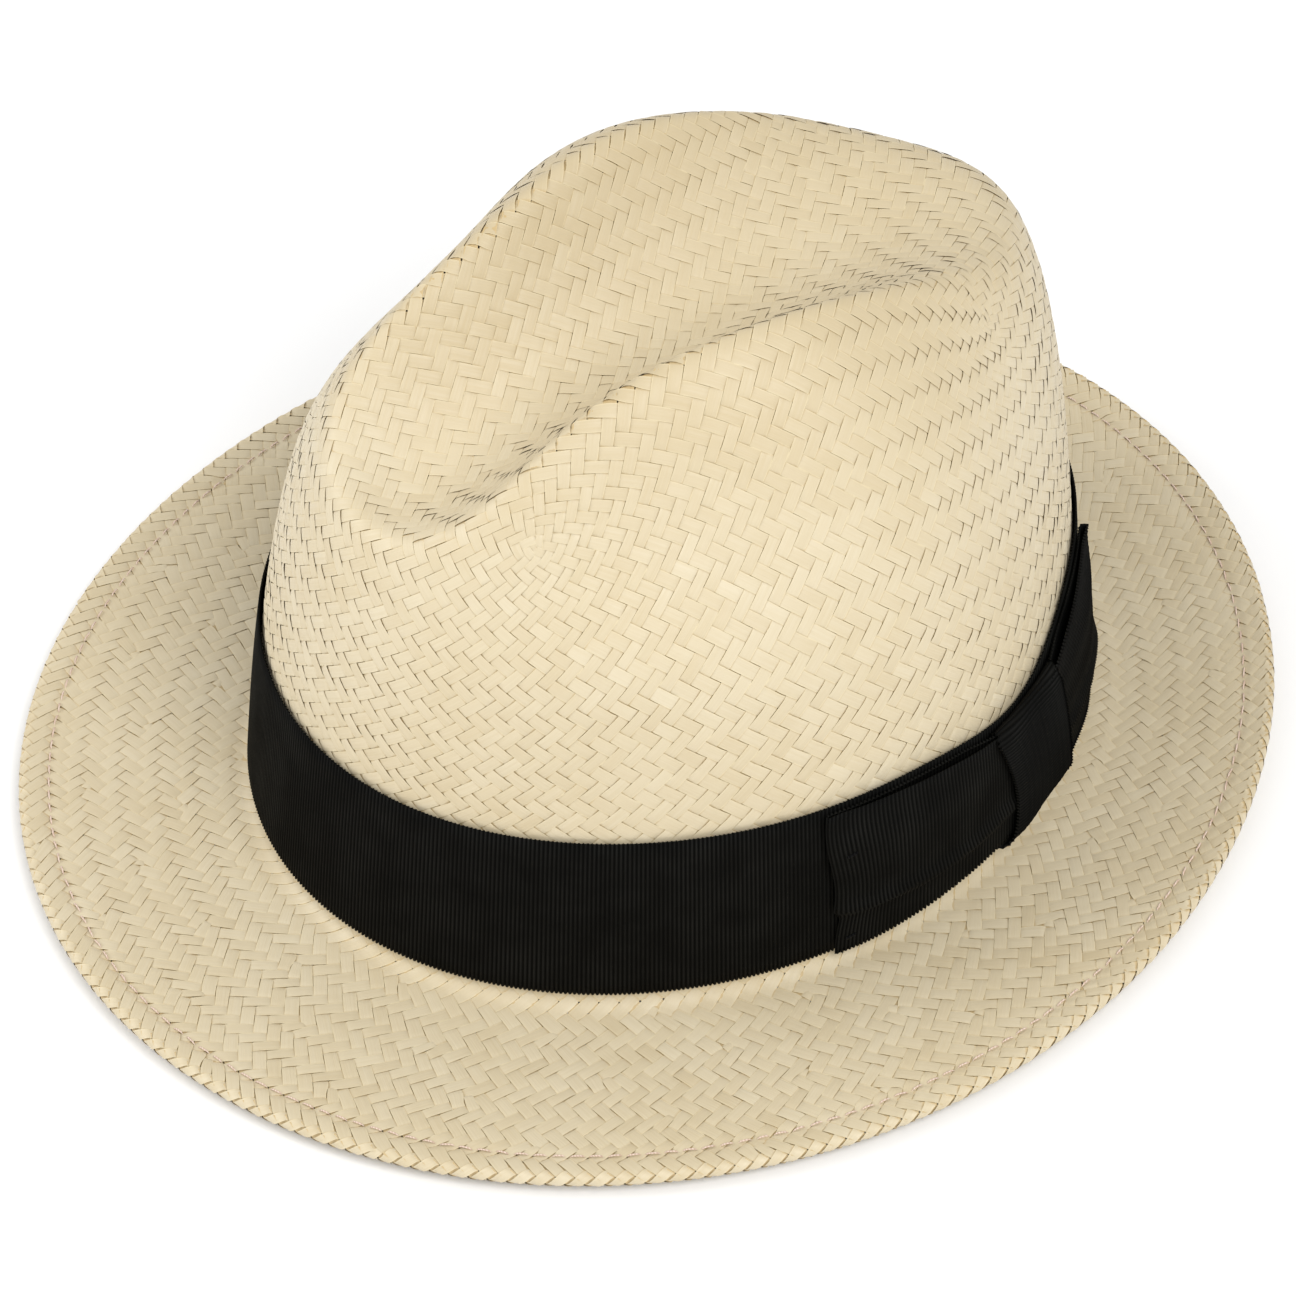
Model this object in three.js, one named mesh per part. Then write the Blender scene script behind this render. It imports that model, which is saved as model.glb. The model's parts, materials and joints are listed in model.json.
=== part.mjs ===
// A woven straw panama hat with a black ribbon band and a flat bow on the wearer's left.
// Millimetres. +Z is up, the front of the hat is -Y and the wearer's left is +X.
// The hat stands on the flat ring that its brim makes around the head opening, at z = 0,
// and the origin is the middle of the brim's outline.
import * as THREE from "three";

// ---- driving dimensions ----------------------------------------------------------------

// Straw cloth, and the edge of the brim: the cloth is folded under around a cord and sewn down.
const CLOTH = 1.0; // thickness of the straw cloth
const GAP = 0.3; // clearance between neighbouring pieces
const BRIM_HALF_WIDTH = 136.4;
const BRIM_HALF_LENGTH = 152.3;
const BRIM_EDGE_HEIGHT = 6.8; // mean height of the middle of the edge
const BRIM_FRONT_BACK_LIFT = 2.0; // front and back are higher than the sides by twice this
const BRIM_BACK_LIFT = 3.2; // the back is higher than the front by twice this
const BRIM_CURL = 1.5; // power of the rise from the flat ring to the edge
const FLAT_RING = 6; // width of the flat ring around the head opening
const FOOT_HEIGHT = 4.5; // where the crown wall leaves the fillet above the brim
const HEM_WIDTH = 7.3; // edge of the brim to its line of stitches
const HEM_END = 9.2; // edge of the brim to the raw edge of the fold
const CORD_RADIUS = 0.6;
const THREAD_RADIUS = 0.35;

// Crown: a dome on an oval foot, pinched at the front and dented along its top.
const FOOT_HALF_WIDTH = 86.9;
const FOOT_HALF_LENGTH = 102.2;
const FOOT_CENTRE_Y = 4.6; // the head opening sits a little back from the middle of the brim
const DOME_HEIGHT = 148.1;
const DOME_TILT = 5.1; // the dome is higher at the back
const DOME_SADDLE = 9.5; // and higher at both ends than in the middle
const FRONT_POWER = 3.41; // powers of the dome's outline: 2 is an ellipse, more is squarer
const SIDE_POWER = 2.09;
const BACK_POWER = 3.27;
const TAPER = 0.088; // part of the width that the dome loses from foot to top
const FRONT_TAPER = 0.102; // more at the front
const BACK_TAPER = -0.081; // less at the back
const BACK_CORNER_CUT = -0.15; // how far the dome's corners draw in
const FRONT_CORNER_CUT = -0.015;
const DENT_DEPTH = 36.5;
const DENT_HALF_WIDTH = 35.4;
const DENT_CENTRE_Y = 3.9;
const DENT_FRONT_LENGTH = 80.1;
const DENT_BACK_LENGTH = 89.6;
const DENT_FRONT_POWER = 5.1;
const DENT_BACK_POWER = 4.56;
const DENT_RIM = 0.18; // softness of the dent's rim
const DENT_TILT = -0.216; // the dent is deeper at the front
const PINCH = 0.217; // part of the width that the front pinch takes away
const PINCH_Y = -32.3;
const PINCH_LENGTH = 36.5;
const PINCH_START = 75.4; // heights above the foot between which the pinch grows
const PINCH_FULL = 123.8;
const TOP_START = 40; // heights above the foot between which the dent is allowed to grow
const TOP_FULL = 90;

// Ribbon of the band and the bow.
const RIBBON = 0.7; // thickness
const BAND_WIDTH = 43.5;
const BAND_DIP = 6.5; // how far the knot draws the top of the band down
const BAND_DIP_SPREAD = 15; // degrees
const KNOT_ANGLE = 26; // degrees from +X towards the back
const BOW_RADIUS = 99.4; // radius of the crown's foot where the bow lies
const BOW_NEAR = 1.5; // back of the bow in front of the straw
const KNOT_HALF_LENGTH = 13.5;
const KNOT_STAND_OFF = 6.2; // face of the knot in front of the straw
const KNOT_BOTTOM = 7.6;
const KNOT_TOP = 43.2;
const LOOP_ROOT = 7; // each loop ends this far from the middle of the knot
const FRONT_LOOP_LENGTH = 61; // middle of the knot to the end of the loop
const REAR_LOOP_LENGTH = 57;
const FRONT_LOOP_BULGE = 5.6; // face of the loop in front of the straw
const REAR_LOOP_BULGE = 5.0;
const PLEAT_HEIGHT = 13; // the loops fold in below this height of their ribbon
const PLEAT_PRESS = 0.6; // part of the stand-off that is left there
const TACK_LENGTH = 2.2;

// Sweatband inside the crown.
const LEATHER = 1.2;
const SWEATBAND_WIDTH = 34;
const SWEATBAND_BOTTOM = 1.6;
const SWEATBAND_STITCH_HEIGHT = 5.5;

// How finely the surfaces are divided.
const AROUND = 56;
const WALL_ROWS = 13; // from the foot of the crown to the rim of its dent
const DENT_ROWS = 9; // from the rim to the top centre
const BRIM_ROWS = 5;
const EDGE_STEPS = 5;
const ROW_EVENING = 1.5;
const ACROSS_STEPS = 5;
const LOOP_STEPS = 40;
const PATH_TENSION = 0.3;

// ---- small helpers ---------------------------------------------------------------------

const DEGREE = Math.PI / 180;
const QUARTER = Math.PI / 2;

function smoothStep(t) {
  const c = Math.min(Math.max(t, 0), 1);
  return c * c * (3 - 2 * c);
}

function between(start, end, t) {
  return start + (end - start) * t;
}

// Runs from 0 to 1 with t, more slowly near both ends.
function even(t) {
  const done = t ** ROW_EVENING;
  return done / (done + (1 - t) ** ROW_EVENING);
}

// The outward direction, in plan, of an oval at the angle theta of its parameter.
function outward(theta, halfWidth, halfLength) {
  return new THREE.Vector3(Math.cos(theta) / halfWidth, Math.sin(theta) / halfLength, 0).normalize();
}

// ---- surfaces of the hat ---------------------------------------------------------------

// A point of the dome before it is pinched and dented, with z above the foot.
// rise is 0 at the foot and a quarter turn at the top centre.
function domePoint(theta, rise) {
  const s = Math.sin(theta);
  const front = ((1 - s) / 2) ** 2;
  const back = ((1 + s) / 2) ** 2;
  const power = FRONT_POWER * front + BACK_POWER * back + SIDE_POWER * (1 - front - back);
  const spread = Math.max(Math.cos(rise), 0) ** (2 / power);
  const height = Math.sin(rise) ** (2 / power);
  const taper = TAPER + BACK_TAPER * Math.max(s, 0) ** 2 + FRONT_TAPER * Math.max(-s, 0) ** 2;
  const corner = between(FRONT_CORNER_CUT, BACK_CORNER_CUT, (1 + s) / 2) * Math.sin(2 * theta) ** 2;
  const size = spread * (1 + (corner - taper) * height);
  const x = FOOT_HALF_WIDTH * size * Math.cos(theta);
  const y = FOOT_CENTRE_Y + FOOT_HALF_LENGTH * size * s;
  const dome = DOME_HEIGHT + DOME_TILT * s * spread + DOME_SADDLE * (s * spread) ** 2;
  return new THREE.Vector3(x, y, height * dome);
}

// A point of the crown's outside.
function crownPoint(theta, rise) {
  const { x, y, z } = domePoint(theta, rise);
  const pinch =
    PINCH *
    Math.exp(-(((y - PINCH_Y) / PINCH_LENGTH) ** 2)) *
    smoothStep((z - PINCH_START) / (PINCH_FULL - PINCH_START));
  return new THREE.Vector3(x * (1 - pinch), y, FOOT_HEIGHT + z - dentDepth(x, y, z));
}

// 1 in the middle of the dent, 0 on its rim and negative outside it.
function insideDent(x, y) {
  const along = y - DENT_CENTRE_Y;
  const ends =
    along < 0
      ? (-along / DENT_FRONT_LENGTH) ** DENT_FRONT_POWER
      : (along / DENT_BACK_LENGTH) ** DENT_BACK_POWER;
  return 1 - (x / DENT_HALF_WIDTH) ** 2 - ends;
}

// How far the dent lowers the dome.
function dentDepth(x, y, z) {
  const inside = insideDent(x, y);
  const softened = (inside + Math.hypot(inside, DENT_RIM)) / 2;
  const tilt = 1 + (DENT_TILT * (y - DENT_CENTRE_Y)) / DENT_FRONT_LENGTH;
  return DENT_DEPTH * tilt * softened * smoothStep((z - TOP_START) / (TOP_FULL - TOP_START));
}

// The value between low and high at which a test changes from true to false.
function turningPoint(low, high, test) {
  for (let i = 0; i < 30; i++) {
    const middle = (low + high) / 2;
    if (test(middle)) low = middle;
    else high = middle;
  }
  return low;
}

// The rise of one row of the crown's surface. The rows meet the rim of the dent all round.
function rowRise(theta, row) {
  const rim = turningPoint(0, QUARTER, (rise) => {
    const { x, y } = domePoint(theta, rise);
    return insideDent(x, y) < 0;
  });
  if (row <= WALL_ROWS) return rim * even(row / WALL_ROWS);
  return between(rim, QUARTER, even((row - WALL_ROWS) / DENT_ROWS));
}

// The crown's outward normal, from two short steps along its surface.
function crownNormal(theta, rise) {
  const step = 0.01;
  const r = Math.min(Math.max(rise, 2 * step), QUARTER - 2 * step);
  const across = crownPoint(theta + step, r).sub(crownPoint(theta - step, r));
  const up = crownPoint(theta, r + step).sub(crownPoint(theta, r - step));
  return across.cross(up).normalize();
}

// A point of the crown's inside, one thickness of cloth behind its outside.
function crownInsidePoint(theta, rise) {
  const point = crownPoint(theta, rise);
  if (rise > QUARTER - 1e-6) return point.setZ(point.z - CLOTH);
  if (rise < 1e-6) return point.addScaledVector(outward(theta, FOOT_HALF_WIDTH, FOOT_HALF_LENGTH), -CLOTH);
  return point.addScaledVector(crownNormal(theta, rise), -CLOTH);
}

// A point level with the crown wall at a given height, standOff in front of its straw.
function wallPoint(theta, z, standOff) {
  const rise = turningPoint(0, QUARTER / 2, (tried) => crownPoint(theta, tried).z < z);
  const wall = crownPoint(theta, rise);
  const out = outward(theta, FOOT_HALF_WIDTH, FOOT_HALF_LENGTH);
  return new THREE.Vector3(wall.x + out.x * standOff, wall.y + out.y * standOff, z);
}

// A point beside the foot of the crown: out is the distance from the wall, in plan.
function footPoint(theta, out, z) {
  const direction = outward(theta, FOOT_HALF_WIDTH, FOOT_HALF_LENGTH);
  return new THREE.Vector3(
    FOOT_HALF_WIDTH * Math.cos(theta) + direction.x * out,
    FOOT_CENTRE_Y + FOOT_HALF_LENGTH * Math.sin(theta) + direction.y * out,
    z,
  );
}

// The middle height of the brim's edge.
function edgeHeight(theta) {
  return (
    BRIM_EDGE_HEIGHT - BRIM_FRONT_BACK_LIFT * Math.cos(2 * theta) + BRIM_BACK_LIFT * Math.sin(theta)
  );
}

// The middle of the brim's edge bead, moved inwards and upwards by the given distances.
function edgePoint(theta, inwards, upwards) {
  const direction = outward(theta, BRIM_HALF_WIDTH, BRIM_HALF_LENGTH);
  return new THREE.Vector3(
    BRIM_HALF_WIDTH * Math.cos(theta) - direction.x * inwards,
    BRIM_HALF_LENGTH * Math.sin(theta) - direction.y * inwards,
    edgeHeight(theta) + upwards,
  );
}

const POCKET_RADIUS = CORD_RADIUS + GAP; // space inside the fold, around the cord
const BEAD_RADIUS = POCKET_RADIUS + CLOTH;
const FILLET = FOOT_HEIGHT - CLOTH; // outer radius of the bend from wall to brim
const FLAT_START = FILLET; // plan distances of the flat ring from the wall
const FLAT_END = FLAT_START + FLAT_RING;

// The top face of the brim. part is 0 at the flat ring and 1 above the cord in the edge.
function brimTopPoint(theta, part) {
  const start = footPoint(theta, FLAT_END, CLOTH);
  const end = edgePoint(theta, BEAD_RADIUS, BEAD_RADIUS);
  const point = start.clone().lerp(end, part);
  point.z = between(start.z, end.z, part ** BRIM_CURL);
  return point;
}

// The part of the brim's width that lies inside a line at a distance from the edge.
function brimPart(theta, inwards) {
  const start = footPoint(theta, FLAT_END, 0);
  const end = edgePoint(theta, BEAD_RADIUS, 0);
  return 1 - (inwards - BEAD_RADIUS) / Math.hypot(end.x - start.x, end.y - start.y);
}

// ---- builders --------------------------------------------------------------------------

// A closed skin swept round a closed way: stations are functions of the part of the way, from
// 0 to 1, in order along the section. A section closes on itself unless it starts and ends on
// the axis of the sweep.
function sweptSkin(stations, steps, onAxis) {
  const list = onAxis ? stations : [...stations, stations[0]];
  const profile = list.map((_, i) => new THREE.Vector2(1, i));
  const geometry = new THREE.LatheGeometry(profile, steps);
  const position = geometry.getAttribute("position");
  for (let i = 0; i < position.count; i++) {
    const step = Math.floor(i / list.length) % steps;
    const point = list[i % list.length](step / steps);
    position.setXYZ(i, point.x, point.y, point.z);
  }
  return facingOut(geometry);
}

// A skin swept round the hat: stations are functions of the angle theta.
function ringGeometry(stations, onAxis) {
  const turned = stations.map((station) => (part) => station(part * 2 * Math.PI));
  return sweptSkin(turned, AROUND, onAxis);
}

// Turns a closed geometry's faces outwards if they face inwards.
function facingOut(geometry) {
  const flat = geometry.index ? geometry.toNonIndexed() : geometry;
  const p = flat.getAttribute("position");
  const a = new THREE.Vector3();
  const b = new THREE.Vector3();
  const c = new THREE.Vector3();
  let volume = 0;
  for (let i = 0; i < p.count; i += 3) {
    a.fromBufferAttribute(p, i);
    b.fromBufferAttribute(p, i + 1);
    c.fromBufferAttribute(p, i + 2);
    volume += a.dot(b.cross(c));
  }
  if (volume < 0) {
    for (let i = 0; i < p.count; i += 3) {
      b.fromBufferAttribute(p, i + 1);
      c.fromBufferAttribute(p, i + 2);
      p.setXYZ(i + 1, c.x, c.y, c.z);
      p.setXYZ(i + 2, b.x, b.y, b.z);
    }
  }
  flat.deleteAttribute("uv");
  flat.computeVertexNormals();
  return flat;
}

// A closed ring of round section along a path around the hat. centre gives the path,
// and out the direction in which the section's first axis points; the second is up.
function roundRing(centre, out, radius) {
  const stations = [];
  for (let i = 0; i < 6; i++) {
    const turn = (i / 6) * 2 * Math.PI;
    stations.push((theta) => {
      const point = centre(theta).addScaledVector(out(theta), radius * Math.cos(turn));
      point.z += radius * Math.sin(turn);
      return point;
    });
  }
  return ringGeometry(stations, false);
}

// A point of the bow: along runs towards the back from the middle of the knot.
function bowPoint(along, standOff, z) {
  return wallPoint(KNOT_ANGLE * DEGREE + along / BOW_RADIUS, z, standOff);
}

// A ribbon that closes on itself along a smooth path through the given corners. place turns
// the two coordinates of the path and the part of the ribbon's width into a point of the hat.
function ribbonLoop(corners, place) {
  const path = new THREE.CatmullRomCurve3(
    corners.map(([x, y]) => new THREE.Vector3(x, y, 0)),
    true,
    "catmullrom",
    PATH_TENSION,
  );
  const stations = [];
  const face = (side, across) => (part) => {
    const point = path.getPointAt(part);
    const tangent = path.getTangentAt(part);
    const x = point.x + (side * tangent.y * RIBBON) / 2;
    const y = point.y - (side * tangent.x * RIBBON) / 2;
    return place(x, y, across);
  };
  for (let i = 0; i <= ACROSS_STEPS; i++) stations.push(face(1, i / ACROSS_STEPS));
  for (let i = ACROSS_STEPS; i >= 0; i--) stations.push(face(-1, i / ACROSS_STEPS));
  return sweptSkin(stations, LOOP_STEPS, false);
}

// ---- pieces ----------------------------------------------------------------------------

// Crown and brim are one cloth. Its section runs from the top centre down the outside,
// over the brim, round the edge cord, back to the raw edge of the hem, into the slit of the
// hem and round the cord's pocket, then under the brim and up the inside to the top centre.
function strawBody() {
  const stations = [];
  for (let row = WALL_ROWS + DENT_ROWS; row >= 0; row--)
    stations.push((theta) => crownPoint(theta, rowRise(theta, row)));
  for (let i = 1; i <= 3; i++) {
    const turn = (i / 3) * QUARTER;
    const out = FILLET * (1 - Math.cos(turn));
    stations.push((theta) => footPoint(theta, out, FOOT_HEIGHT - FILLET * Math.sin(turn)));
  }
  stations.push((theta) => brimTopPoint(theta, 0));
  for (let i = 1; i <= BRIM_ROWS; i++) {
    const part = (theta) => (i / BRIM_ROWS) * brimPart(theta, HEM_END);
    stations.push((theta) => brimTopPoint(theta, part(theta)));
  }
  for (let i = 0; i <= EDGE_STEPS; i++) {
    const turn = QUARTER - (i / EDGE_STEPS) * 2 * QUARTER;
    const inwards = BEAD_RADIUS * (1 - Math.cos(turn));
    stations.push((theta) => edgePoint(theta, inwards, BEAD_RADIUS * Math.sin(turn)));
  }
  const slope = (theta, inwards) =>
    brimTopPoint(theta, brimPart(theta, inwards)).z - edgeHeight(theta) - BEAD_RADIUS;
  const pocketEnd = 2 * BEAD_RADIUS;
  const under = (theta, inwards, down) =>
    edgePoint(theta, inwards, BEAD_RADIUS + slope(theta, inwards) - down);
  const foldTop = CLOTH + GAP;
  stations.push((theta) => under(theta, pocketEnd + GAP, foldTop + CLOTH));
  stations.push((theta) => under(theta, HEM_END, foldTop + CLOTH));
  stations.push((theta) => under(theta, HEM_END, foldTop));
  stations.push((theta) => under(theta, pocketEnd, foldTop));
  for (let i = 1; i < 2 * EDGE_STEPS; i++) {
    const turn = -2 * QUARTER + (i / (2 * EDGE_STEPS)) * 4 * QUARTER;
    const inwards = BEAD_RADIUS - POCKET_RADIUS * Math.cos(turn);
    stations.push((theta) => edgePoint(theta, inwards, POCKET_RADIUS * Math.sin(turn)));
  }
  stations.push((theta) => under(theta, pocketEnd, CLOTH));
  for (let i = BRIM_ROWS; i >= 1; i--) {
    const part = (theta) => (i / BRIM_ROWS) * brimPart(theta, HEM_END);
    stations.push((theta) => {
      const point = brimTopPoint(theta, part(theta));
      return point.setZ(point.z - CLOTH);
    });
  }
  stations.push((theta) => footPoint(theta, FLAT_END, 0));
  for (let i = 3; i >= 1; i--) {
    const turn = (i / 3) * QUARTER;
    const radius = FILLET + CLOTH;
    const out = FILLET - radius * Math.cos(turn);
    stations.push((theta) => footPoint(theta, out, FOOT_HEIGHT - radius * Math.sin(turn)));
  }
  for (let row = 0; row <= WALL_ROWS + DENT_ROWS; row++)
    stations.push((theta) => crownInsidePoint(theta, rowRise(theta, row)));
  return ringGeometry(stations, true);
}

// The cord that the edge of the brim is folded round.
function brimEdgeCord() {
  return roundRing(
    (theta) => edgePoint(theta, BEAD_RADIUS, 0),
    (theta) => outward(theta, BRIM_HALF_WIDTH, BRIM_HALF_LENGTH),
    CORD_RADIUS,
  );
}

// The two threads of the hem's lock stitch: one lies on the brim, the other under the fold.
function hemThread(height) {
  return roundRing(
    (theta) => {
      const point = brimTopPoint(theta, brimPart(theta, HEM_WIDTH));
      return point.setZ(point.z + height);
    },
    (theta) => outward(theta, BRIM_HALF_WIDTH, BRIM_HALF_LENGTH),
    THREAD_RADIUS,
  );
}

// The height of the ribbon band's top edge, which the knot of the bow draws down.
function bandTop(theta) {
  const away = Math.atan2(Math.sin(theta - KNOT_ANGLE * DEGREE), Math.cos(theta - KNOT_ANGLE * DEGREE));
  const dip = BAND_DIP * Math.exp(-((away / (BAND_DIP_SPREAD * DEGREE)) ** 2));
  return FOOT_HEIGHT + GAP + BAND_WIDTH - dip;
}

// A band that lies against the wall, between two stand-offs and two heights.
function wallBand(near, far, bottom, top, rows) {
  const stations = [];
  for (let i = 0; i <= rows; i++)
    stations.push((theta) => wallPoint(theta, between(bottom, top(theta), i / rows), far));
  for (let i = rows; i >= 0; i--)
    stations.push((theta) => wallPoint(theta, between(bottom, top(theta), i / rows), near));
  return ringGeometry(stations, false);
}

function hatBand() {
  return wallBand(GAP, GAP + RIBBON, FOOT_HEIGHT + GAP, bandTop, 5);
}

function sweatband() {
  const behind = -(CLOTH + GAP);
  const top = () => SWEATBAND_BOTTOM + SWEATBAND_WIDTH;
  const stations = [];
  const heights = [0, 1 / 3, 2 / 3, 1].map((t) => between(FOOT_HEIGHT, top(), t));
  const place = (standOff) => (z) => (theta) => wallPoint(theta, z, standOff);
  stations.push((theta) => footPoint(theta, behind - LEATHER, SWEATBAND_BOTTOM));
  stations.push(...[...heights].map(place(behind - LEATHER)));
  stations.push(...[...heights].reverse().map(place(behind)));
  stations.push((theta) => footPoint(theta, behind, SWEATBAND_BOTTOM));
  return ringGeometry(stations, false);
}

// The thread that holds the sweatband's lower edge to the hat.
function sweatbandThread() {
  const inside = -(CLOTH + GAP + LEATHER + GAP + THREAD_RADIUS);
  return roundRing(
    (theta) => wallPoint(theta, SWEATBAND_STITCH_HEIGHT, inside),
    (theta) => outward(theta, FOOT_HALF_WIDTH, FOOT_HALF_LENGTH),
    THREAD_RADIUS,
  );
}

// One loop of the bow: a ribbon that runs out from the knot, turns back and returns.
// side is -1 for the front loop and 1 for the rear one.
function bowLoop(side, length, bulge) {
  const near = BOW_NEAR + RIBBON / 2;
  const rootNear = near + RIBBON + GAP;
  const rootFar = rootNear + 2 * RIBBON;
  const run = (part) => between(KNOT_HALF_LENGTH, length, part);
  const face = bulge - RIBBON / 2;
  const corners = [
    [LOOP_ROOT, rootNear + RIBBON],
    [LOOP_ROOT + 1, rootNear],
    [KNOT_HALF_LENGTH, rootNear],
    [run(0.2), near],
    [run(0.5), near],
    [run(0.8), near],
    [length - 1.5, near],
    [length - RIBBON / 2, near + 0.8],
    [length - 1.5, near + 1.6],
    [run(0.8), face - 0.6],
    [run(0.5), face],
    [run(0.2), face - 0.4],
    [KNOT_HALF_LENGTH, rootFar],
    [LOOP_ROOT + 1, rootFar],
  ];
  return ribbonLoop(corners, (along, standOff, across) => {
    const spread = smoothStep((along - KNOT_HALF_LENGTH) / (length - KNOT_HALF_LENGTH));
    const bottom = between(KNOT_BOTTOM + 2, FOOT_HEIGHT + 2 * GAP, spread);
    const top = between(KNOT_TOP - 2, FOOT_HEIGHT + BAND_WIDTH, spread);
    const z = between(bottom, top, across);
    const fold = smoothStep((z - FOOT_HEIGHT - PLEAT_HEIGHT + 3) / 6);
    const folded = BOW_NEAR + (standOff - BOW_NEAR) * between(PLEAT_PRESS, 1, fold);
    return bowPoint(side * along, between(standOff, folded, spread ** 0.5), z);
  });
}

// The knot: a ribbon wound round the middle of the bow, top to bottom.
function bowKnot() {
  const near = BOW_NEAR + RIBBON / 2;
  const face = KNOT_STAND_OFF - RIBBON / 2;
  const bottom = KNOT_BOTTOM + RIBBON / 2;
  const top = KNOT_TOP - RIBBON / 2;
  const height = (part) => between(bottom, top, part);
  const corners = [
    [near, height(0.04)],
    [near + 1, bottom],
    [face - 1.4, height(0.01)],
    [face - 0.2, height(0.1)],
    [face, height(0.5)],
    [face - 0.2, height(0.9)],
    [face - 1.4, height(0.99)],
    [near + 1, top],
    [near, height(0.96)],
    [near, height(0.7)],
    [near, height(0.3)],
  ];
  return ribbonLoop(corners, (standOff, z, part) =>
    bowPoint(between(-KNOT_HALF_LENGTH, KNOT_HALF_LENGTH, part), standOff, z),
  );
}

// A short thread that tacks the end of the front loop to the band.
function bowTack(z, standOff) {
  const geometry = new THREE.CapsuleGeometry(THREAD_RADIUS, TACK_LENGTH, 3, 8);
  const position = bowPoint(-(FRONT_LOOP_LENGTH - 4), standOff, z);
  geometry.translate(position.x, position.y, position.z);
  return facingOut(geometry);
}

// ---- assembly --------------------------------------------------------------------------

const straw = new THREE.MeshStandardMaterial({ color: 0xe4d6b2, roughness: 0.55, metalness: 0 });
const cord = new THREE.MeshStandardMaterial({ color: 0xd8d2c4, roughness: 0.6, metalness: 0 });
const thread = new THREE.MeshStandardMaterial({ color: 0xdcc3a8, roughness: 0.7, metalness: 0 });
const ribbon = new THREE.MeshStandardMaterial({ color: 0x12120f, roughness: 0.8, metalness: 0 });
const leather = new THREE.MeshStandardMaterial({ color: 0xb98c5e, roughness: 0.6, metalness: 0 });

const hat = new THREE.Group();

function add(name, geometry, material) {
  const mesh = new THREE.Mesh(geometry, material);
  mesh.name = name;
  hat.add(mesh);
}

add("straw_body", strawBody(), straw);
add("brim_edge_cord", brimEdgeCord(), cord);
add("hem_upper_thread", hemThread(GAP + THREAD_RADIUS), thread);
add("hem_lower_thread", hemThread(-(2 * CLOTH + 2 * GAP + THREAD_RADIUS)), thread);
add("hat_band", hatBand(), ribbon);
add("bow_front_loop", bowLoop(-1, FRONT_LOOP_LENGTH, FRONT_LOOP_BULGE), ribbon);
add("bow_rear_loop", bowLoop(1, REAR_LOOP_LENGTH, REAR_LOOP_BULGE), ribbon);
add("bow_knot", bowKnot(), ribbon);
add("bow_tack_upper", bowTack(38, FRONT_LOOP_BULGE + 0.2), ribbon);
add("bow_tack_lower", bowTack(12, FRONT_LOOP_BULGE - 0.8), ribbon);
add("sweatband", sweatband(), leather);
add("sweatband_thread", sweatbandThread(), thread);

export default hat;
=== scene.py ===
import json
import math
import bpy
import numpy as np
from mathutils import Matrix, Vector

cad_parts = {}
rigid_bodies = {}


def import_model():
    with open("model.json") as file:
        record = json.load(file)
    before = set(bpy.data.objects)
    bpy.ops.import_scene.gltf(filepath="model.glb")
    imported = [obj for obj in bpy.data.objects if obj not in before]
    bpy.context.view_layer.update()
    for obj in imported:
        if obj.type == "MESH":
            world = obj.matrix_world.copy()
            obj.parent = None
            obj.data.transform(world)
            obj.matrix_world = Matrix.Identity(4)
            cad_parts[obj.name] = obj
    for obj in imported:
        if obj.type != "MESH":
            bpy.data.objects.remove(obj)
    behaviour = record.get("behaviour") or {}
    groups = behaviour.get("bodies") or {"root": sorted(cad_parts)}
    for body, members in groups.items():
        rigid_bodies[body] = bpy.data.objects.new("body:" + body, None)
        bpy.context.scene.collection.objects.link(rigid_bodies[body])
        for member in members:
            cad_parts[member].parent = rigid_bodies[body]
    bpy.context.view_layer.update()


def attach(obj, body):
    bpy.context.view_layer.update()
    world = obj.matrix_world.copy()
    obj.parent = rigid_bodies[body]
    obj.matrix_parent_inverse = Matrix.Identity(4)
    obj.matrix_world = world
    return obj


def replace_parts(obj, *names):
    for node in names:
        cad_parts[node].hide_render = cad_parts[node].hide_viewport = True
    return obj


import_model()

# ---- driving dimensions ----------------------------------------------------------------

MM = 0.001
QUARTER = math.pi / 2
TURN = 2 * math.pi
AROUND = 720  # columns of a table that goes all the way round the hat

# Straw cloth and the edge of the brim.
CLOTH = 1.0 * MM
GAP = 0.3 * MM
BRIM_HALF_WIDTH = 136.4 * MM
BRIM_HALF_LENGTH = 152.3 * MM
BRIM_EDGE_HEIGHT = 6.8 * MM
BRIM_FRONT_BACK_LIFT = 2.0 * MM
BRIM_BACK_LIFT = 3.2 * MM
BRIM_CURL = 1.5
FLAT_RING = 6 * MM
FOOT_HEIGHT = 4.5 * MM
FILLET = FOOT_HEIGHT - CLOTH
HEM_WIDTH = 7.3 * MM
HEM_END = 9.2 * MM
HEM_DIP = 0.3 * MM  # how deep the stitches pull into the straw
HEM_DIP_WIDTH = 0.9 * MM
BEAD_RADIUS = 1.9 * MM  # outside of the brim's rolled edge

# Crown: a dome on an oval foot, pinched at the front and dented along its top.
FOOT_HALF_WIDTH = 86.9 * MM
FOOT_HALF_LENGTH = 102.2 * MM
FOOT_CENTRE_Y = 4.6 * MM
DOME_HEIGHT = 148.1 * MM
DOME_TILT = 5.1 * MM
DOME_SADDLE = 9.5 * MM
FRONT_POWER = 3.41
SIDE_POWER = 2.09
BACK_POWER = 3.27
TAPER = 0.088
FRONT_TAPER = 0.102
BACK_TAPER = -0.081
BACK_CORNER_CUT = -0.15
FRONT_CORNER_CUT = -0.015
DENT_DEPTH = 36.5 * MM
DENT_HALF_WIDTH = 35.4 * MM
DENT_CENTRE_Y = 3.9 * MM
DENT_FRONT_LENGTH = 80.1 * MM
DENT_BACK_LENGTH = 89.6 * MM
DENT_FRONT_POWER = 5.1
DENT_BACK_POWER = 4.56
DENT_RIM = 0.18
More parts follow.
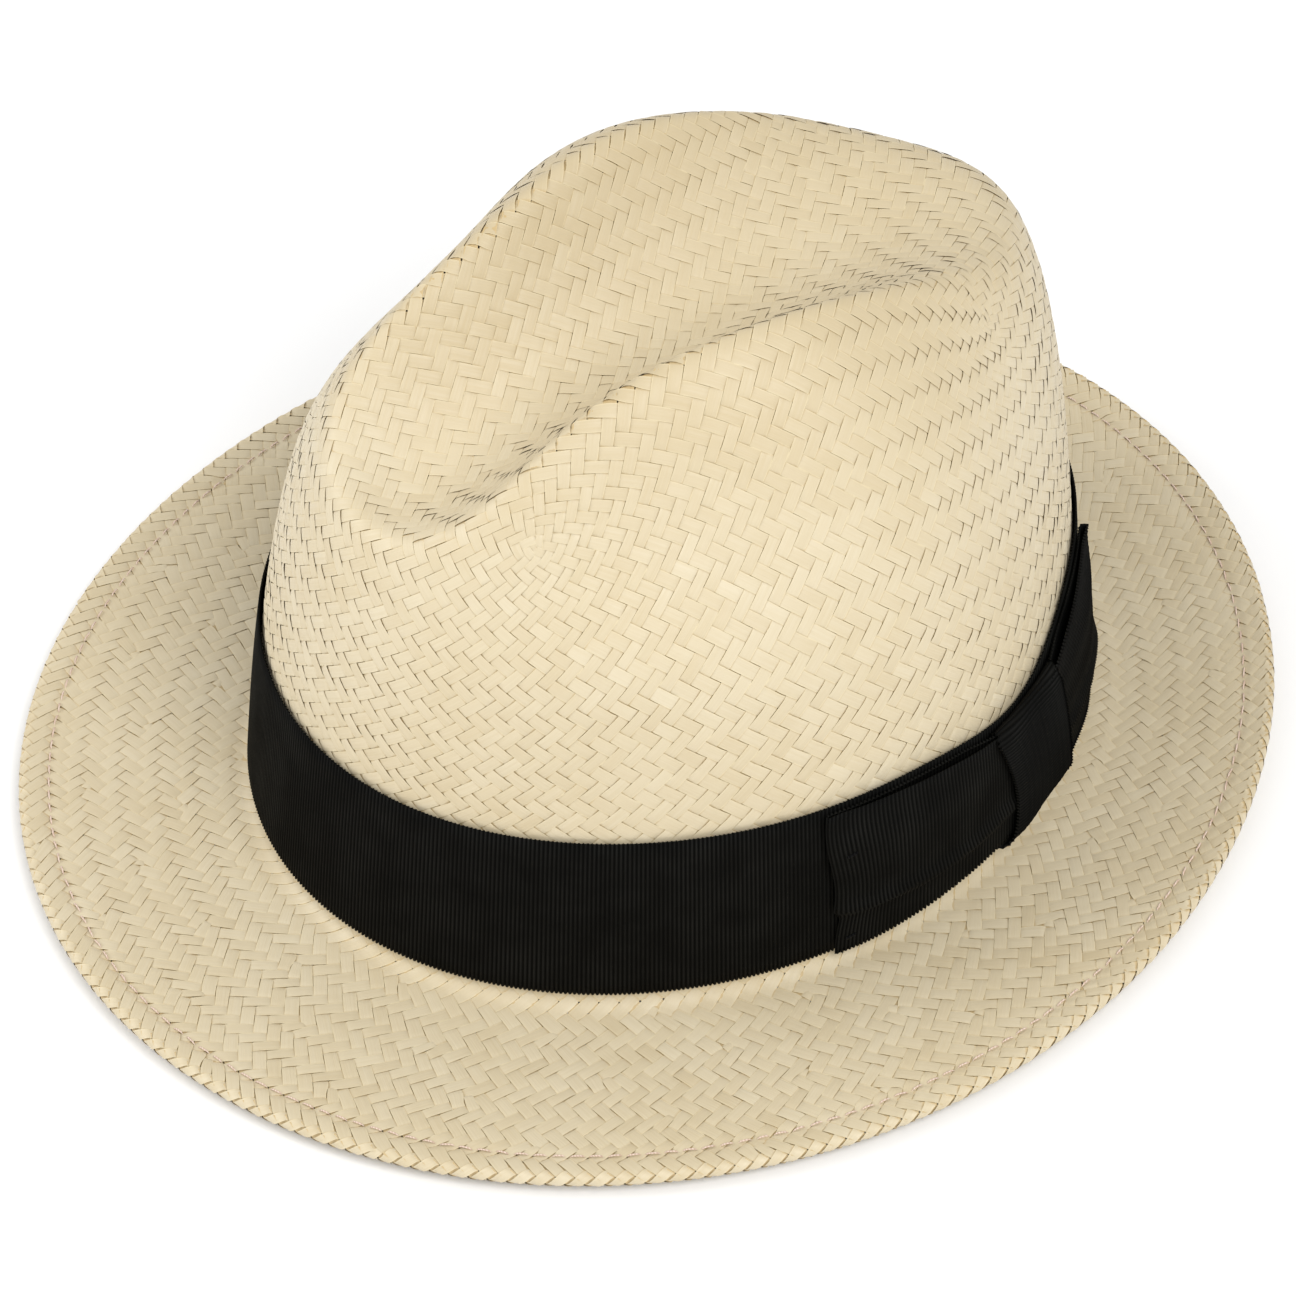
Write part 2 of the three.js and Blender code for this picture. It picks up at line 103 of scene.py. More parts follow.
DENT_TILT = -0.216
PINCH = 0.217
PINCH_Y = -32.3 * MM
PINCH_LENGTH = 36.5 * MM
PINCH_START = 75.4 * MM
PINCH_FULL = 123.8 * MM
TOP_START = 40 * MM
TOP_FULL = 90 * MM

# Weave of the crown: a plaited box whose rectangular top is laid over the dome.
TOP_ACROSS = 26  # strips of each family that meet the top's front edge
TOP_ALONG = 33  # and its side edge
TOP_STEP = 4.2 * MM  # distance between strips along the edge of the top, before relaxing
WALL_ROWS = 62  # rows of crossings from the edge of the top to the hidden end under the band
CROWN_END = 6 * MM  # the crown's strips end this far above the foot
CROWN_RELAX_ROUNDS = 140

# Weave of the brim, which starts behind the band and ends at the raw edge of the hem.
BRIM_WALL = 10 * MM  # the brim's strips run this far up the wall, behind the band
BRIM_ROWS = 37
BRIM_INNER_STEP = 4.35 * MM  # distance between crossings along the innermost ring
BRIM_OUTER_STEP = 4.0 * MM
BRIM_RELAX_ROUNDS = 300
BIRTH_TURN = 2.39996  # the golden angle, from one pair of new strips to the next
MOST_BIRTHS = 8  # pairs of new strips that one ring may bring
STRIP_TUCK = 0.6  # a new strip starts this part of a step before its first crossing

# One strip of straw.
STRIP_FILL = 0.965  # width of a strip as part of the distance between strips
STRIP_FILL_SPREAD = 0.025
STRIP_WOBBLE = 0.02  # spread of a strip's width along it
STRIP_WIDTHS = (0.6, 1.4)  # narrowest and widest, as parts of the strip's usual width
STRIP_LIFT = 0.19 * MM  # height of a strip above the middle of the cloth where it passes over
STRIP_ROUNDING = 0.06 * MM  # how far its edges turn down
STRIP_TILT = 0.05 * MM  # how far one edge may stand higher than the other
SHARP_BEND = 260.0  # one over the radius, in metres, of a bend that pulls a strip down flat
BEND_PRESS = 0.5  # the part of its lift that a strip loses there
STRIP_SAMPLES = 3  # cross-sections from one crossing to the next
STRIP_ACROSS = (-1.0, -0.55, 0.55, 1.0)  # points of a cross-section, in half widths
STRIP_CHANGE = (0.18, 0.64)  # where it starts to change level between crossings, and for how long
TONE_SPREAD = 0.13  # difference of shade from strip to strip
TONE_DRIFT = 0.05  # and along one strip
BAKE_LANE = 0.42  # half of a strip's width in the baked layout, where its lane is 1
GRAIN_SHIFT = 10 * MM  # from one strip's place in the grain to the next one's

# Ribbon of the band and the bow.
RIBBON = 0.7 * MM
BAND_WIDTH = 43.5 * MM
BAND_DIP = 6.5 * MM
BAND_DIP_SPREAD = math.radians(15)
RIB_PITCH = 1.0 * MM
RIB_HEIGHT = 0.36 * MM
RIB_SAMPLES = 6
RIB_ROUNDING = 0.8  # power of the ribs' outline: less is flatter on top
EDGE_SCALLOP = 0.3 * MM  # how far the ribs' ends stick out at the selvedges
EDGE_TURNS = (0.45 * MM, 0.12 * MM)  # how far the two outer rows of points turn back
BAND_WAVE = 0.12 * MM  # how far the band stands off between its edges, here and there
KNOT_ANGLE = math.radians(26)
BOW_RADIUS = 99.4 * MM
BOW_NEAR = 1.5 * MM
KNOT_HALF_LENGTH = 13.5 * MM
KNOT_STAND_OFF = 6.2 * MM
KNOT_BOTTOM = 7.6 * MM
KNOT_TOP = 43.2 * MM
LOOP_ROOT = 7 * MM
FRONT_LOOP_LENGTH = 61 * MM
REAR_LOOP_LENGTH = 57 * MM
FRONT_LOOP_BULGE = 5.6 * MM
REAR_LOOP_BULGE = 5.0 * MM
FREE_END_WAVE = 1.0 * MM
KNOT_SKEW = 3.4 * MM  # how far the knot's left edge is drawn in at half its height
PLEAT_HEIGHT = 13 * MM
PLEAT_PRESS = 0.4
FOLD_ROLL = 1.1 * MM  # how far the loop bulges just above its lengthwise fold
FRONT_LOOP_CLOSING = 0.5  # how far a loop's front closes on the band at its top edge
REAR_LOOP_CLOSING = 0.8

# Sweatband inside the crown, and the threads.
LEATHER = 1.2 * MM
SWEATBAND_WIDTH = 34 * MM
SWEATBAND_BOTTOM = 1.6 * MM
SWEATBAND_STITCH_HEIGHT = 5.5 * MM
SWEATBAND_COLUMNS = 360
SWEATBAND_ROWS = 18
REED_HEIGHT = 1.6 * MM  # the rounded welt above the sweatband's lower edge
REED_DEPTH = 0.35 * MM
REED_WIDTH = 1.1 * MM
SEAM_DEPTH = 0.25 * MM  # how deep the stitches pull into the leather
SEAM_WIDTH = 0.7 * MM
THREAD_RADIUS = 0.22 * MM
STITCH_LENGTH = 3.1 * MM
STITCH_PITCH = 4.0 * MM
STITCH_RINGS = 7
STITCH_SIDES = 8
STITCH_SPREAD = 0.06  # difference of length from stitch to stitch
STITCH_SWING = 0.12 * MM  # how far a stitch's ends lie off the line

# Colours, as parts of the light that comes back.
STRAW_DARK = (0.565, 0.465, 0.295)
STRAW_PALE = (0.645, 0.56, 0.395)
STRAW_STREAK = (0.55, 0.44, 0.25)
STRAW_PATCH = (0.70, 0.64, 0.50)
STRAW_FIBRE = (0.74, 0.68, 0.53)
# Painted shade: above the heights given below, the crown's top is darkened and turned more golden.
STRAW_TOP_SHADE = (0.50, 0.395, 0.225)
# Painted highlight: the strips' edges are lightened towards this colour.
STRAW_EDGE_HIGHLIGHT = (0.78, 0.67, 0.42)
# Painted shade: a strip is darkened and browned towards this colour where it dips under a crossing.
STRAW_UNDER_SHADE = (0.50, 0.34, 0.13)
TOP_SHADE_HEIGHTS = (0.105, 0.138)  # heights between which the crown's top takes on its painted shade, darker and more golden
RIBBON_DARK = (0.0006, 0.0006, 0.0005)
RIBBON_PALE = (0.0025, 0.0025, 0.002)
# Painted highlight: the ribs' crests are lightened towards this colour.
RIBBON_CREST_HIGHLIGHT = (0.013, 0.013, 0.0115)
LEATHER_PALE = (0.52, 0.31, 0.15)
LEATHER_STAIN = (0.40, 0.21, 0.085)
LEATHER_CREASE = (0.28, 0.14, 0.055)
BEIGE = ((0.58, 0.42, 0.33), (0.76, 0.62, 0.52))
BLACK = ((0.0015, 0.0015, 0.0015), (0.006, 0.006, 0.006))
COTTON = ((0.5, 0.46, 0.38), (0.72, 0.68, 0.58))
FLOOR_GREY = (0.95, 0.95, 0.95)

# Camera and light.
LOOK_AT = (0.0, 0.006, 0.0445)
CAMERA_AZIMUTH = -34.0
CAMERA_ELEVATION = 44.6
CAMERA_DISTANCE = 0.894
CAMERA_LENS = 108.0
CAMERA_SHIFT = (-0.0198, -0.0625)
FLOOR_HALF_SIZE = 6.0
WORLD_STRENGTH = 0.68
KEY_LIGHT = dict(azimuth=-124, elevation=32, distance=1.3, size=0.8, power=6.2)
FILL_LIGHT = dict(azimuth=-8, elevation=50, distance=1.3, size=0.8, power=10.5)

random = np.random.default_rng(7)


# ---- surfaces of the hat ---------------------------------------------------------------

def smooth_step(t):
    t = np.clip(t, 0, 1)
    return t * t * (3 - 2 * t)


def between(start, end, t):
    return start + (end - start) * t


def turned(angle):
    """The same direction as an angle within half a turn of 0."""
    return np.mod(angle + math.pi, TURN) - math.pi


def all_round(count):
    """Even angles, all the way round."""
    return np.arange(count) / count * TURN


def hump(distance, width):
    """1 at no distance, and close to 0 two widths away."""
    return np.exp(-((distance / width) ** 2))


def unit(vectors):
    return vectors / np.linalg.norm(vectors, axis=-1, keepdims=True)


def run_along(points):
    """How far along a line of points each of them is."""
    return np.concatenate([[0], np.cumsum(np.linalg.norm(np.diff(points, axis=0), axis=1))])


def cell(grid, i, j):
    """The value of a table that goes round at its fractional row i and column j."""
    i0 = np.floor(i).astype(int) % grid.shape[0]
    j0 = np.minimum(np.floor(j).astype(int), grid.shape[1] - 2)
    i1 = (i0 + 1) % grid.shape[0]
    a = (i - np.floor(i))[..., None]
    b = (j - j0)[..., None]
    near = grid[i0, j0] * (1 - a) + grid[i1, j0] * a
    far = grid[i0, j0 + 1] * (1 - a) + grid[i1, j0 + 1] * a
    return near * (1 - b) + far * b


def oval(theta, half_width, half_length, middle_y, z):
    """Points of a level oval."""
    x = half_width * np.cos(theta)
    return np.stack([x, middle_y + half_length * np.sin(theta), z + 0 * theta], axis=-1)


def dome_point(theta, rise):
    """The dome before it is pinched and dented, with z above the foot."""
    s = np.sin(theta)
    front = ((1 - s) / 2) ** 2
    back = ((1 + s) / 2) ** 2
    power = FRONT_POWER * front + BACK_POWER * back + SIDE_POWER * (1 - front - back)
    spread = np.maximum(np.cos(rise), 0) ** (2 / power)
    height = np.sin(rise) ** (2 / power)
    taper = TAPER + BACK_TAPER * np.maximum(s, 0) ** 2 + FRONT_TAPER * np.maximum(-s, 0) ** 2
    corner = between(FRONT_CORNER_CUT, BACK_CORNER_CUT, (1 + s) / 2) * np.sin(2 * theta) ** 2
    size = spread * (1 + (corner - taper) * height)
    x = FOOT_HALF_WIDTH * size * np.cos(theta)
    y = FOOT_CENTRE_Y + FOOT_HALF_LENGTH * size * s
    dome = DOME_HEIGHT + DOME_TILT * s * spread + DOME_SADDLE * (s * spread) ** 2
    return x, y, height * dome


def dent_depth(x, y, z):
    along = y - DENT_CENTRE_Y
    front = np.maximum(-along / DENT_FRONT_LENGTH, 0) ** DENT_FRONT_POWER
    back = np.maximum(along / DENT_BACK_LENGTH, 0) ** DENT_BACK_POWER
    inside = 1 - (x / DENT_HALF_WIDTH) ** 2 - front - back
    softened = (inside + np.hypot(inside, DENT_RIM)) / 2
    tilt = 1 + DENT_TILT * along / DENT_FRONT_LENGTH
    return DENT_DEPTH * tilt * softened * smooth_step((z - TOP_START) / (TOP_FULL - TOP_START))


def crown_point(theta, rise):
    """A point of the crown's outside. rise is 0 at the foot and a quarter turn at the top centre."""
    x, y, z = dome_point(theta, rise)
    pinch = PINCH * hump(y - PINCH_Y, PINCH_LENGTH)
    pinch = pinch * smooth_step((z - PINCH_START) / (PINCH_FULL - PINCH_START))
    return np.stack([x * (1 - pinch), y, FOOT_HEIGHT + z - dent_depth(x, y, z)], axis=-1)


def outward(theta, half_width, half_length):
    """The outward direction, in plan, of an oval."""
    return unit(np.stack([np.cos(theta) / half_width, np.sin(theta) / half_length, 0 * theta], axis=-1))


def foot_point(theta, out, z):
    """A point beside the foot of the crown, out from the wall in plan."""
    foot = oval(theta, FOOT_HALF_WIDTH, FOOT_HALF_LENGTH, FOOT_CENTRE_Y, z)
    away = np.expand_dims(out + 0 * theta, -1)
    return foot + outward(theta, FOOT_HALF_WIDTH, FOOT_HALF_LENGTH) * away


def edge_point(theta, inwards, upwards):
    """The middle of the brim's edge bead, moved inwards and upwards."""
    lift = BRIM_BACK_LIFT * np.sin(theta) - BRIM_FRONT_BACK_LIFT * np.cos(2 * theta)
    edge = oval(theta, BRIM_HALF_WIDTH, BRIM_HALF_LENGTH, 0, BRIM_EDGE_HEIGHT + lift + upwards)
    away = np.expand_dims(inwards + 0 * theta, -1)
    return edge - outward(theta, BRIM_HALF_WIDTH, BRIM_HALF_LENGTH) * away


def brim_top_point(theta, part):
    """The top of the brim: part is 0 at the flat ring and 1 above the cord in the edge."""
    start = foot_point(theta, FILLET + FLAT_RING, CLOTH)
    end = edge_point(theta, BEAD_RADIUS, BEAD_RADIUS)
    point = between(start, end, np.expand_dims(part, -1))
    point[..., 2] = between(start[..., 2], end[..., 2], part ** BRIM_CURL)
    inwards = BEAD_RADIUS + (1 - part) * np.linalg.norm((end - start)[..., :2], axis=-1)
    point[..., 2] -= HEM_DIP * hump(inwards - HEM_WIDTH, HEM_DIP_WIDTH)
    return point


def brim_part(theta, inwards):
    """The part of the brim's width inside a line at a distance from the edge."""
    start = foot_point(theta, FILLET + FLAT_RING, 0)
    end = edge_point(theta, BEAD_RADIUS, 0)
    return 1 - (inwards - BEAD_RADIUS) / np.linalg.norm((end - start)[..., :2], axis=-1)


class Surface:
    """A surface of the hat in even steps: around by theta, and along by part of its length."""

    def __init__(self, line, sunk, along=400):
        """line gives the points, for one theta, of a line along the outside of the surface."""
        rows = []
        self.length = []
        for theta in all_round(AROUND):
            points = line(theta)
            run = run_along(points)
            self.length.append(run[-1])
            even = np.linspace(0, run[-1], along)
            rows.append(np.stack([np.interp(even, run, points[:, k]) for k in range(3)], axis=-1))
        outside = np.array(rows)
        around = np.roll(outside, -1, axis=0) - np.roll(outside, 1, axis=0)
        down = np.gradient(outside, axis=1)
        normal = np.cross(down, around)
        normal[:, :3] = normal[:, 3:4]  # the lines meet at the crown's top, where it has none
        self.normals = unit(normal)
        self.points = outside - self.normals * sunk

    def at(self, theta, part):
        """(points, normals) at these angles and parts of the line."""
        i = np.mod(theta, TURN) / TURN * AROUND
        j = np.clip(part, 0, 1) * (self.points.shape[1] - 1)
        return cell(self.points, i, j), unit(cell(self.normals, i, j))


def crown_line(theta):
    rise = QUARTER * (1 - np.linspace(0, 1, 900) ** 1.3)
    return crown_point(theta + 0 * rise, rise)


def brim_line(theta):
    """Down the wall, round the fillet, over the brim, round the bead and back under the hem."""
    wall = foot_point(theta + np.zeros(8), 0, FOOT_HEIGHT + np.linspace(BRIM_WALL, 0, 8))
    lean = crown_point(theta + np.zeros(60), np.linspace(0.001, 0.5, 60))
    wall[:, 0] = np.interp(wall[:, 2], lean[:, 2], lean[:, 0])
    wall[:, 1] = np.interp(wall[:, 2], lean[:, 2], lean[:, 1])
    turn = np.linspace(0, QUARTER, 12)[1:]
    down = FOOT_HEIGHT - FILLET * np.sin(turn)
    fillet = foot_point(theta + 0 * turn, FILLET * (1 - np.cos(turn)), down)
    part = np.linspace(0, 1, 120)
    top = brim_top_point(theta + 0 * part, part)
    turn = np.linspace(QUARTER, -QUARTER, 24)[1:]
    inwards = BEAD_RADIUS * (1 - np.cos(turn))
    bead = edge_point(theta + 0 * turn, inwards, BEAD_RADIUS * np.sin(turn))
    back = np.linspace(BEAD_RADIUS, HEM_END, 12)[1:]
    under = brim_top_point(theta + 0 * back, brim_part(theta + 0 * back, back))
    drop = between(2 * BEAD_RADIUS, 2 * CLOTH + GAP, smooth_step((back - BEAD_RADIUS) / BEAD_RADIUS))
    under[:, 2] -= drop
    return np.concatenate([wall, fillet, top, bead, under])


def foot_angles(lengths):
    """The angles at these lengths along the crown's foot, from the middle of the left side."""
    theta = np.linspace(-math.pi, math.pi, 2001)
    run = run_along(foot_point(theta, 0, 0))
    middle = np.interp(0, theta, run)
    return np.interp(np.mod(lengths + middle, run[-1]), run, theta)


FOOT_ROUND = float(run_along(foot_point(np.linspace(0, TURN, 2001), 0, 0))[-1])


class Wall:
    """The lower part of the crown's wall, by angle and height."""

    def __init__(self, top=60 * MM, up=61):
        self.top = top
        theta = all_round(AROUND)[:, None]
        rise = np.linspace(0.0, 0.9, 300)
        heights = np.linspace(0, top, up)
        lines = []
        for p in crown_point(theta + 0 * rise, rise + 0 * theta):
            lines.append(np.stack([np.interp(heights, p[:, 2], p[:, k]) for k in (0, 1)], axis=-1))
        self.plan = np.array(lines)

    def at(self, theta, z, stand_off):
        """Points at these angles and heights, moved out in plan by stand_off."""
        theta, z, stand_off = np.broadcast_arrays(theta, z, stand_off)
        i = np.mod(theta, TURN) / TURN * AROUND
        j = np.clip(z / self.top, 0, 1) * (self.plan.shape[1] - 1)
        point = np.concatenate([cell(self.plan, i, j), z[..., None]], axis=-1)
        return point + outward(theta, FOOT_HALF_WIDTH, FOOT_HALF_LENGTH) * stand_off[..., None]


# ---- meshes and materials --------------------------------------------------------------

def grid_faces(rows, columns, closed=False, closed_across=False):
    """Four-sided faces of a grid of vertices, columns quickest."""
    i = np.arange(rows if closed else rows - 1)[:, None]
    j = np.arange(columns if closed_across else columns - 1)[None, :]
    after = (i + 1) % rows
    beside = (j + 1) % columns
    return np.stack(
        [i * columns + j, i * columns + beside, after * columns + beside, after * columns + j],
        axis=-1,
    ).reshape(-1, 4)


def add_object(name, data):
    obj = bpy.data.objects.new(name, data)
    bpy.context.scene.collection.objects.link(obj)
    return obj


def mesh_piece(name, vertices, faces, material, uvs=None, values=None):
    """A smooth piece on the hat's one body. values are named numbers at the vertices."""
    mesh = bpy.data.meshes.new(name)
    mesh.vertices.add(len(vertices))
    mesh.vertices.foreach_set("co", np.asarray(vertices, np.float32).ravel())
    mesh.loops.add(faces.size)
    mesh.loops.foreach_set("vertex_index", faces.astype(np.int32).ravel())
    mesh.polygons.add(len(faces))
    mesh.polygons.foreach_set("loop_start", np.arange(0, faces.size, 4, dtype=np.int32))
    mesh.update(calc_edges=True)
    for layer, coordinates in (uvs or {}).items():
        uv = mesh.uv_layers.new(name=layer)
        uv.data.foreach_set("uv", np.asarray(coordinates[faces.ravel()], np.float32).ravel())
    for label, numbers in (values or {}).items():
        attribute = mesh.attributes.new(label, "FLOAT", "POINT")
        attribute.data.foreach_set("value", np.asarray(numbers, np.float32).ravel())
    mesh.shade_smooth()
    mesh.materials.append(material)
    piece = add_object(name, mesh)
    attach(piece, "root")
    return piece


class Shader:
    """Short names for the nodes of one material."""

    def __init__(self, name, colour, roughness):
        self.material = bpy.data.materials.new(name)
        self.material.use_nodes = True
        self.nodes = self.material.node_tree.nodes
        self.links = self.material.node_tree.links
        self.surface = self.nodes["Principled BSDF"]
        self.surface.inputs["Base Color"].default_value = (*colour, 1)
        self.surface.inputs["Roughness"].default_value = roughness

    def add(self, kind, inputs=None, **settings):
        node = self.nodes.new(kind)
        for key, value in settings.items():
            setattr(node, key, value)
        for key, value in (inputs or {}).items():
            if isinstance(value, bpy.types.NodeSocket):
                self.links.new(value, node.inputs[key])
            else:
                node.inputs[key].default_value = value
        return node

    def set(self, socket, value):
        self.links.new(value, self.surface.inputs[socket])

    def noise(self, vector, scale, detail=3.0):
        inputs = {"Scale": scale, "Detail": detail}
        if vector is not None:
            inputs["Vector"] = vector
        return self.add("ShaderNodeTexNoise", inputs).outputs["Fac"]

    def scaled(self, vector, scale):
        node = self.add("ShaderNodeVectorMath", {0: vector, 1: scale}, operation="MULTIPLY")
        return node.outputs["Vector"]

    def attribute(self, name):
        return self.add("ShaderNodeAttribute", attribute_name=name).outputs["Fac"]

    def place(self):
        return self.add("ShaderNodeTexCoord").outputs["Object"]

    def uv(self, name):
        return self.add("ShaderNodeUVMap", uv_map=name).outputs["UV"]

    def math(self, operation, first, second):
        return self.add("ShaderNodeMath", {0: first, 1: second}, operation=operation).outputs[0]

    def remap(self, value, low, high, to_low, to_high):
        names = ("Value", "From Min", "From Max", "To Min", "To Max")
        inputs = dict(zip(names, (value, low, high, to_low, to_high)))
        return self.add("ShaderNodeMapRange", inputs).outputs["Result"]

    def mix(self, factor, first, second, blend="MIX"):
        node = self.add("ShaderNodeMix", data_type="RGBA", blend_type=blend)
        for key, value in ((0, factor), (6, first), (7, second)):
            if isinstance(value, bpy.types.NodeSocket):
                self.links.new(value, node.inputs[key])
            elif key == 0:
                node.inputs[key].default_value = value
            else:
                node.inputs[key].default_value = (*value, 1)
        return node.outputs[2]

    def bump(self, height, distance, strength=1.0):
        inputs = {"Height": height, "Distance": distance, "Strength": strength}
        self.set("Normal", self.add("ShaderNodeBump", inputs).outputs["Normal"])


def straw_material():
    """Split palm: each strip has its own shade and a fine lengthwise grain. Painted shade darkens a
    strip where it dips under its crossings and darkens the crown's top, and a painted highlight
    lightens the strips' edges.
    """
    shader = Shader("straw", STRAW_PALE, 0.5)
    grain_uv = shader.uv("grain")
    grain = shader.noise(shader.scaled(grain_uv, (90, 5200, 1)), 1.0, 4.0)
    streaks = shader.noise(shader.scaled(grain_uv, (25, 1400, 1)), 1.0, 2.0)
    place = shader.place()
    patches = shader.noise(place, 38.0, 3.0)
    height = shader.add("ShaderNodeSeparateXYZ", {0: place}).outputs["Z"]
    colour = shader.mix(shader.attribute("shade"), STRAW_DARK, STRAW_PALE)
    for value, low, high, share, tint in (
        (streaks, 0.35, 0.7, 0.25, STRAW_STREAK),
        (patches, 0.4, 0.75, 0.2, STRAW_PATCH),
        (grain, 0.4, 0.65, 0.12, STRAW_FIBRE),
        # painted shade on the crown's top, by height
        (height, *TOP_SHADE_HEIGHTS, 0.5, STRAW_TOP_SHADE),
        # painted highlight on the strips' edges
        (shader.attribute("edge_highlight"), 0.8, 1.0, 0.4, STRAW_EDGE_HIGHLIGHT),
        # painted shade where a strip dips under its crossings
        (shader.attribute("under_shade"), 0.3, 0.75, 0.6, STRAW_UNDER_SHADE),
    ):
        colour = shader.mix(shader.remap(value, low, high, 0.0, share), colour, tint)
    shader.set("Base Color", colour)
    shader.set("Roughness", shader.remap(streaks, 0.3, 0.7, 0.42, 0.6))
    shader.surface.inputs["Specular IOR Level"].default_value = 0.42
    shader.surface.inputs["Sheen Weight"].default_value = 0.05
    shader.bump(shader.math("ADD", grain, streaks), 0.06 * MM, 0.8)
    return shader.material


def ribbon_material():
    """Black grosgrain: ribbed in the mesh, with fine warp threads and a painted highlight on the rib
    crests, patchy across the ribbon.
    """
    shader = Shader("ribbon", RIBBON_CREST_HIGHLIGHT, 0.7)
    warp = shader.noise(shader.scaled(shader.uv("cloth"), (400, 5200, 1)), 1.0, 2.0)
    # painted highlight on the rib crests, made patchy by this noise
    highlight_patches = shader.remap(shader.noise(shader.place(), 90.0, 3.0), 0.35, 0.75, 0.3, 1.0)
    colour = shader.mix(shader.remap(warp, 0.3, 0.7, 0.0, 1.0), RIBBON_DARK, RIBBON_PALE)
    crest_highlight = shader.math("MULTIPLY", shader.math("POWER", shader.attribute("crest"), 3.0), highlight_patches)
    shader.set("Base Color", shader.mix(crest_highlight, colour, RIBBON_CREST_HIGHLIGHT))
    shader.set("Roughness", shader.remap(warp, 0.3, 0.7, 0.55, 0.8))
    shader.surface.inputs["Specular IOR Level"].default_value = 0.05
    shader.bump(warp, 0.05 * MM, 0.7)
    return shader.material


def thread_material(name, shades, twist, gloss=0.3):
    """Sewing thread or cord: two shades in twisted plies."""
    dark, light = shades
    shader = Shader(name, light, 0.65)
    shader.surface.inputs["Specular IOR Level"].default_value = gloss
    waves = shader.add(
        "ShaderNodeTexWave",
        {"Vector": shader.place(), "Scale": twist, "Distortion": 2.0, "Detail": 2.0},
        bands_direction="DIAGONAL",
    ).outputs["Fac"]
    shader.set("Base Color", shader.mix(waves, dark, light))
    shader.set("Roughness", shader.remap(waves, 0, 1, 0.75, 0.55))
    shader.bump(waves, 0.1 * MM, 0.6)
    return shader.material


def leather_material():
    """Smooth tan leather, a little darker where it has been handled."""
    shader = Shader("sweatband_leather", LEATHER_PALE, 0.5)
    place = shader.place()
    pores = shader.add("ShaderNodeTexVoronoi", {"Vector": place, "Scale": 1400.0}).outputs["Distance"]
    creases = shader.noise(place, 260.0, 5.0)
    stains = shader.noise(place, 22.0, 4.0)
    colour = shader.mix(shader.remap(stains, 0.35, 0.7, 0.0, 1.0), LEATHER_PALE, LEATHER_STAIN)
    colour = shader.mix(shader.remap(creases, 0.45, 0.7, 0.0, 0.35), colour, LEATHER_CREASE)
    shader.set("Base Color", colour)
    shader.set("Roughness", shader.remap(creases, 0.3, 0.7, 0.42, 0.62))
    shader.bump(shader.math("ADD", pores, creases), 0.12 * MM, 0.6)
    return shader.material


# ---- the woven straw -------------------------------------------------------------------

def perimeter_node(x, y):
    """The place round the box, in half steps, of a point on the edge of its top."""
    across, along = 2 * TOP_ACROSS, 2 * TOP_ALONG
    if y == 0:
        return x
    if x == across:
        return across + y
    if y == along:
        return across + along + (across - x)
    return 2 * across + along + (along - y)


def box_strips():
    """The crown's strips: each climbs a wall of the box, crosses its top at 45 degrees and
    goes down another wall. A strip is a list of nodes: (x, y, 0) on the top or
    (-1, place round the box, row) on a wall, in half steps."""
    across, along = 2 * TOP_ACROSS, 2 * TOP_ALONG
    around = 2 * (across + along)
    starts = [(x, 0, dx, 1) for x in range(1, across, 2) for dx in (-1, 1)]
    starts += [(x, along, dx, -1) for x in range(1, across, 2) for dx in (-1, 1)]
    starts += [(0, y, 1, dy) for y in range(1, along, 2) for dy in (-1, 1)]
    starts += [(across, y, -1, dy) for y in range(1, along, 2) for dy in (-1, 1)]
    strips, seen = [], set()
    for x, y, dx, dy in starts:
        nodes = [(x, y, 0)]
        while True:
            x, y = x + dx, y + dy
            nodes.append((x, y, 0))
            if x in (0, across) or y in (0, along):
                break
        ends = frozenset((nodes[0], nodes[-1]))
        if ends in seen:
            continue
        seen.add(ends)
        up = climb_sign(nodes[0], nodes[1], across, along)
        down = climb_sign(nodes[-1], nodes[-2], across, along)
        start, end = perimeter_node(*nodes[0][:2]), perimeter_node(*nodes[-1][:2])
        rows = range(1, WALL_ROWS + 1)
        before = [(-1, (start - up * r) % around, r) for r in reversed(rows)]
        after = [(-1, (end - down * r) % around, r) for r in rows]
        strips.append(before + nodes + after)
    return strips


def climb_sign(edge, inner, across, along):
    """Which way round the box a strip moves as it climbs over the edge of the top."""
    (x, y, _), (x2, y2, _) = edge, inner
    if y == 0:
        return x2 - x
    if x == across:
        return y2 - y
    if y == along:
        return x - x2
    return y - y2


def box_row(node):
    """How far inside the edge of the top a node is: negative on a wall."""
    x, y, row = node
    if row:
        return -row
    return min(x, 2 * TOP_ACROSS - x, y, 2 * TOP_ALONG - y)


def box_round(node):
    """(place round the box in half steps, part of the way from the top's middle to its edge)."""
    x, y, row = node
    if row:
        return y, 1.0
    dx, dy = (x - TOP_ACROSS) / TOP_ACROSS, (y - TOP_ALONG) / TOP_ALONG
    reach = max(abs(dx), abs(dy), 1e-6)
    return perimeter_node((dx / reach + 1) * TOP_ACROSS, (dy / reach + 1) * TOP_ALONG), reach


def moves_round(before, after):
    """Whether a strip climbs inwards while it moves round the box the positive way."""
    across, along = 2 * TOP_ACROSS, 2 * TOP_ALONG
    if before[2] == 0 and after[2] == 0:
        x, y = (before[0] + after[0]) / 2, (before[1] + after[1]) / 2
        dx, dy = after[0] - before[0], after[1] - before[1]
        from_sides = ((y, dy * dx), (across - x, -dx * dy), (along - y, dy * dx), (x, -dx * dy))
        return min(from_sides)[1] > 0
    rise = box_row(after) - box_row(before)
    around = 2 * (across + along)
    turn = (box_round(after)[0] - box_round(before)[0] + around / 2) % around - around / 2
    return rise * turn > 0


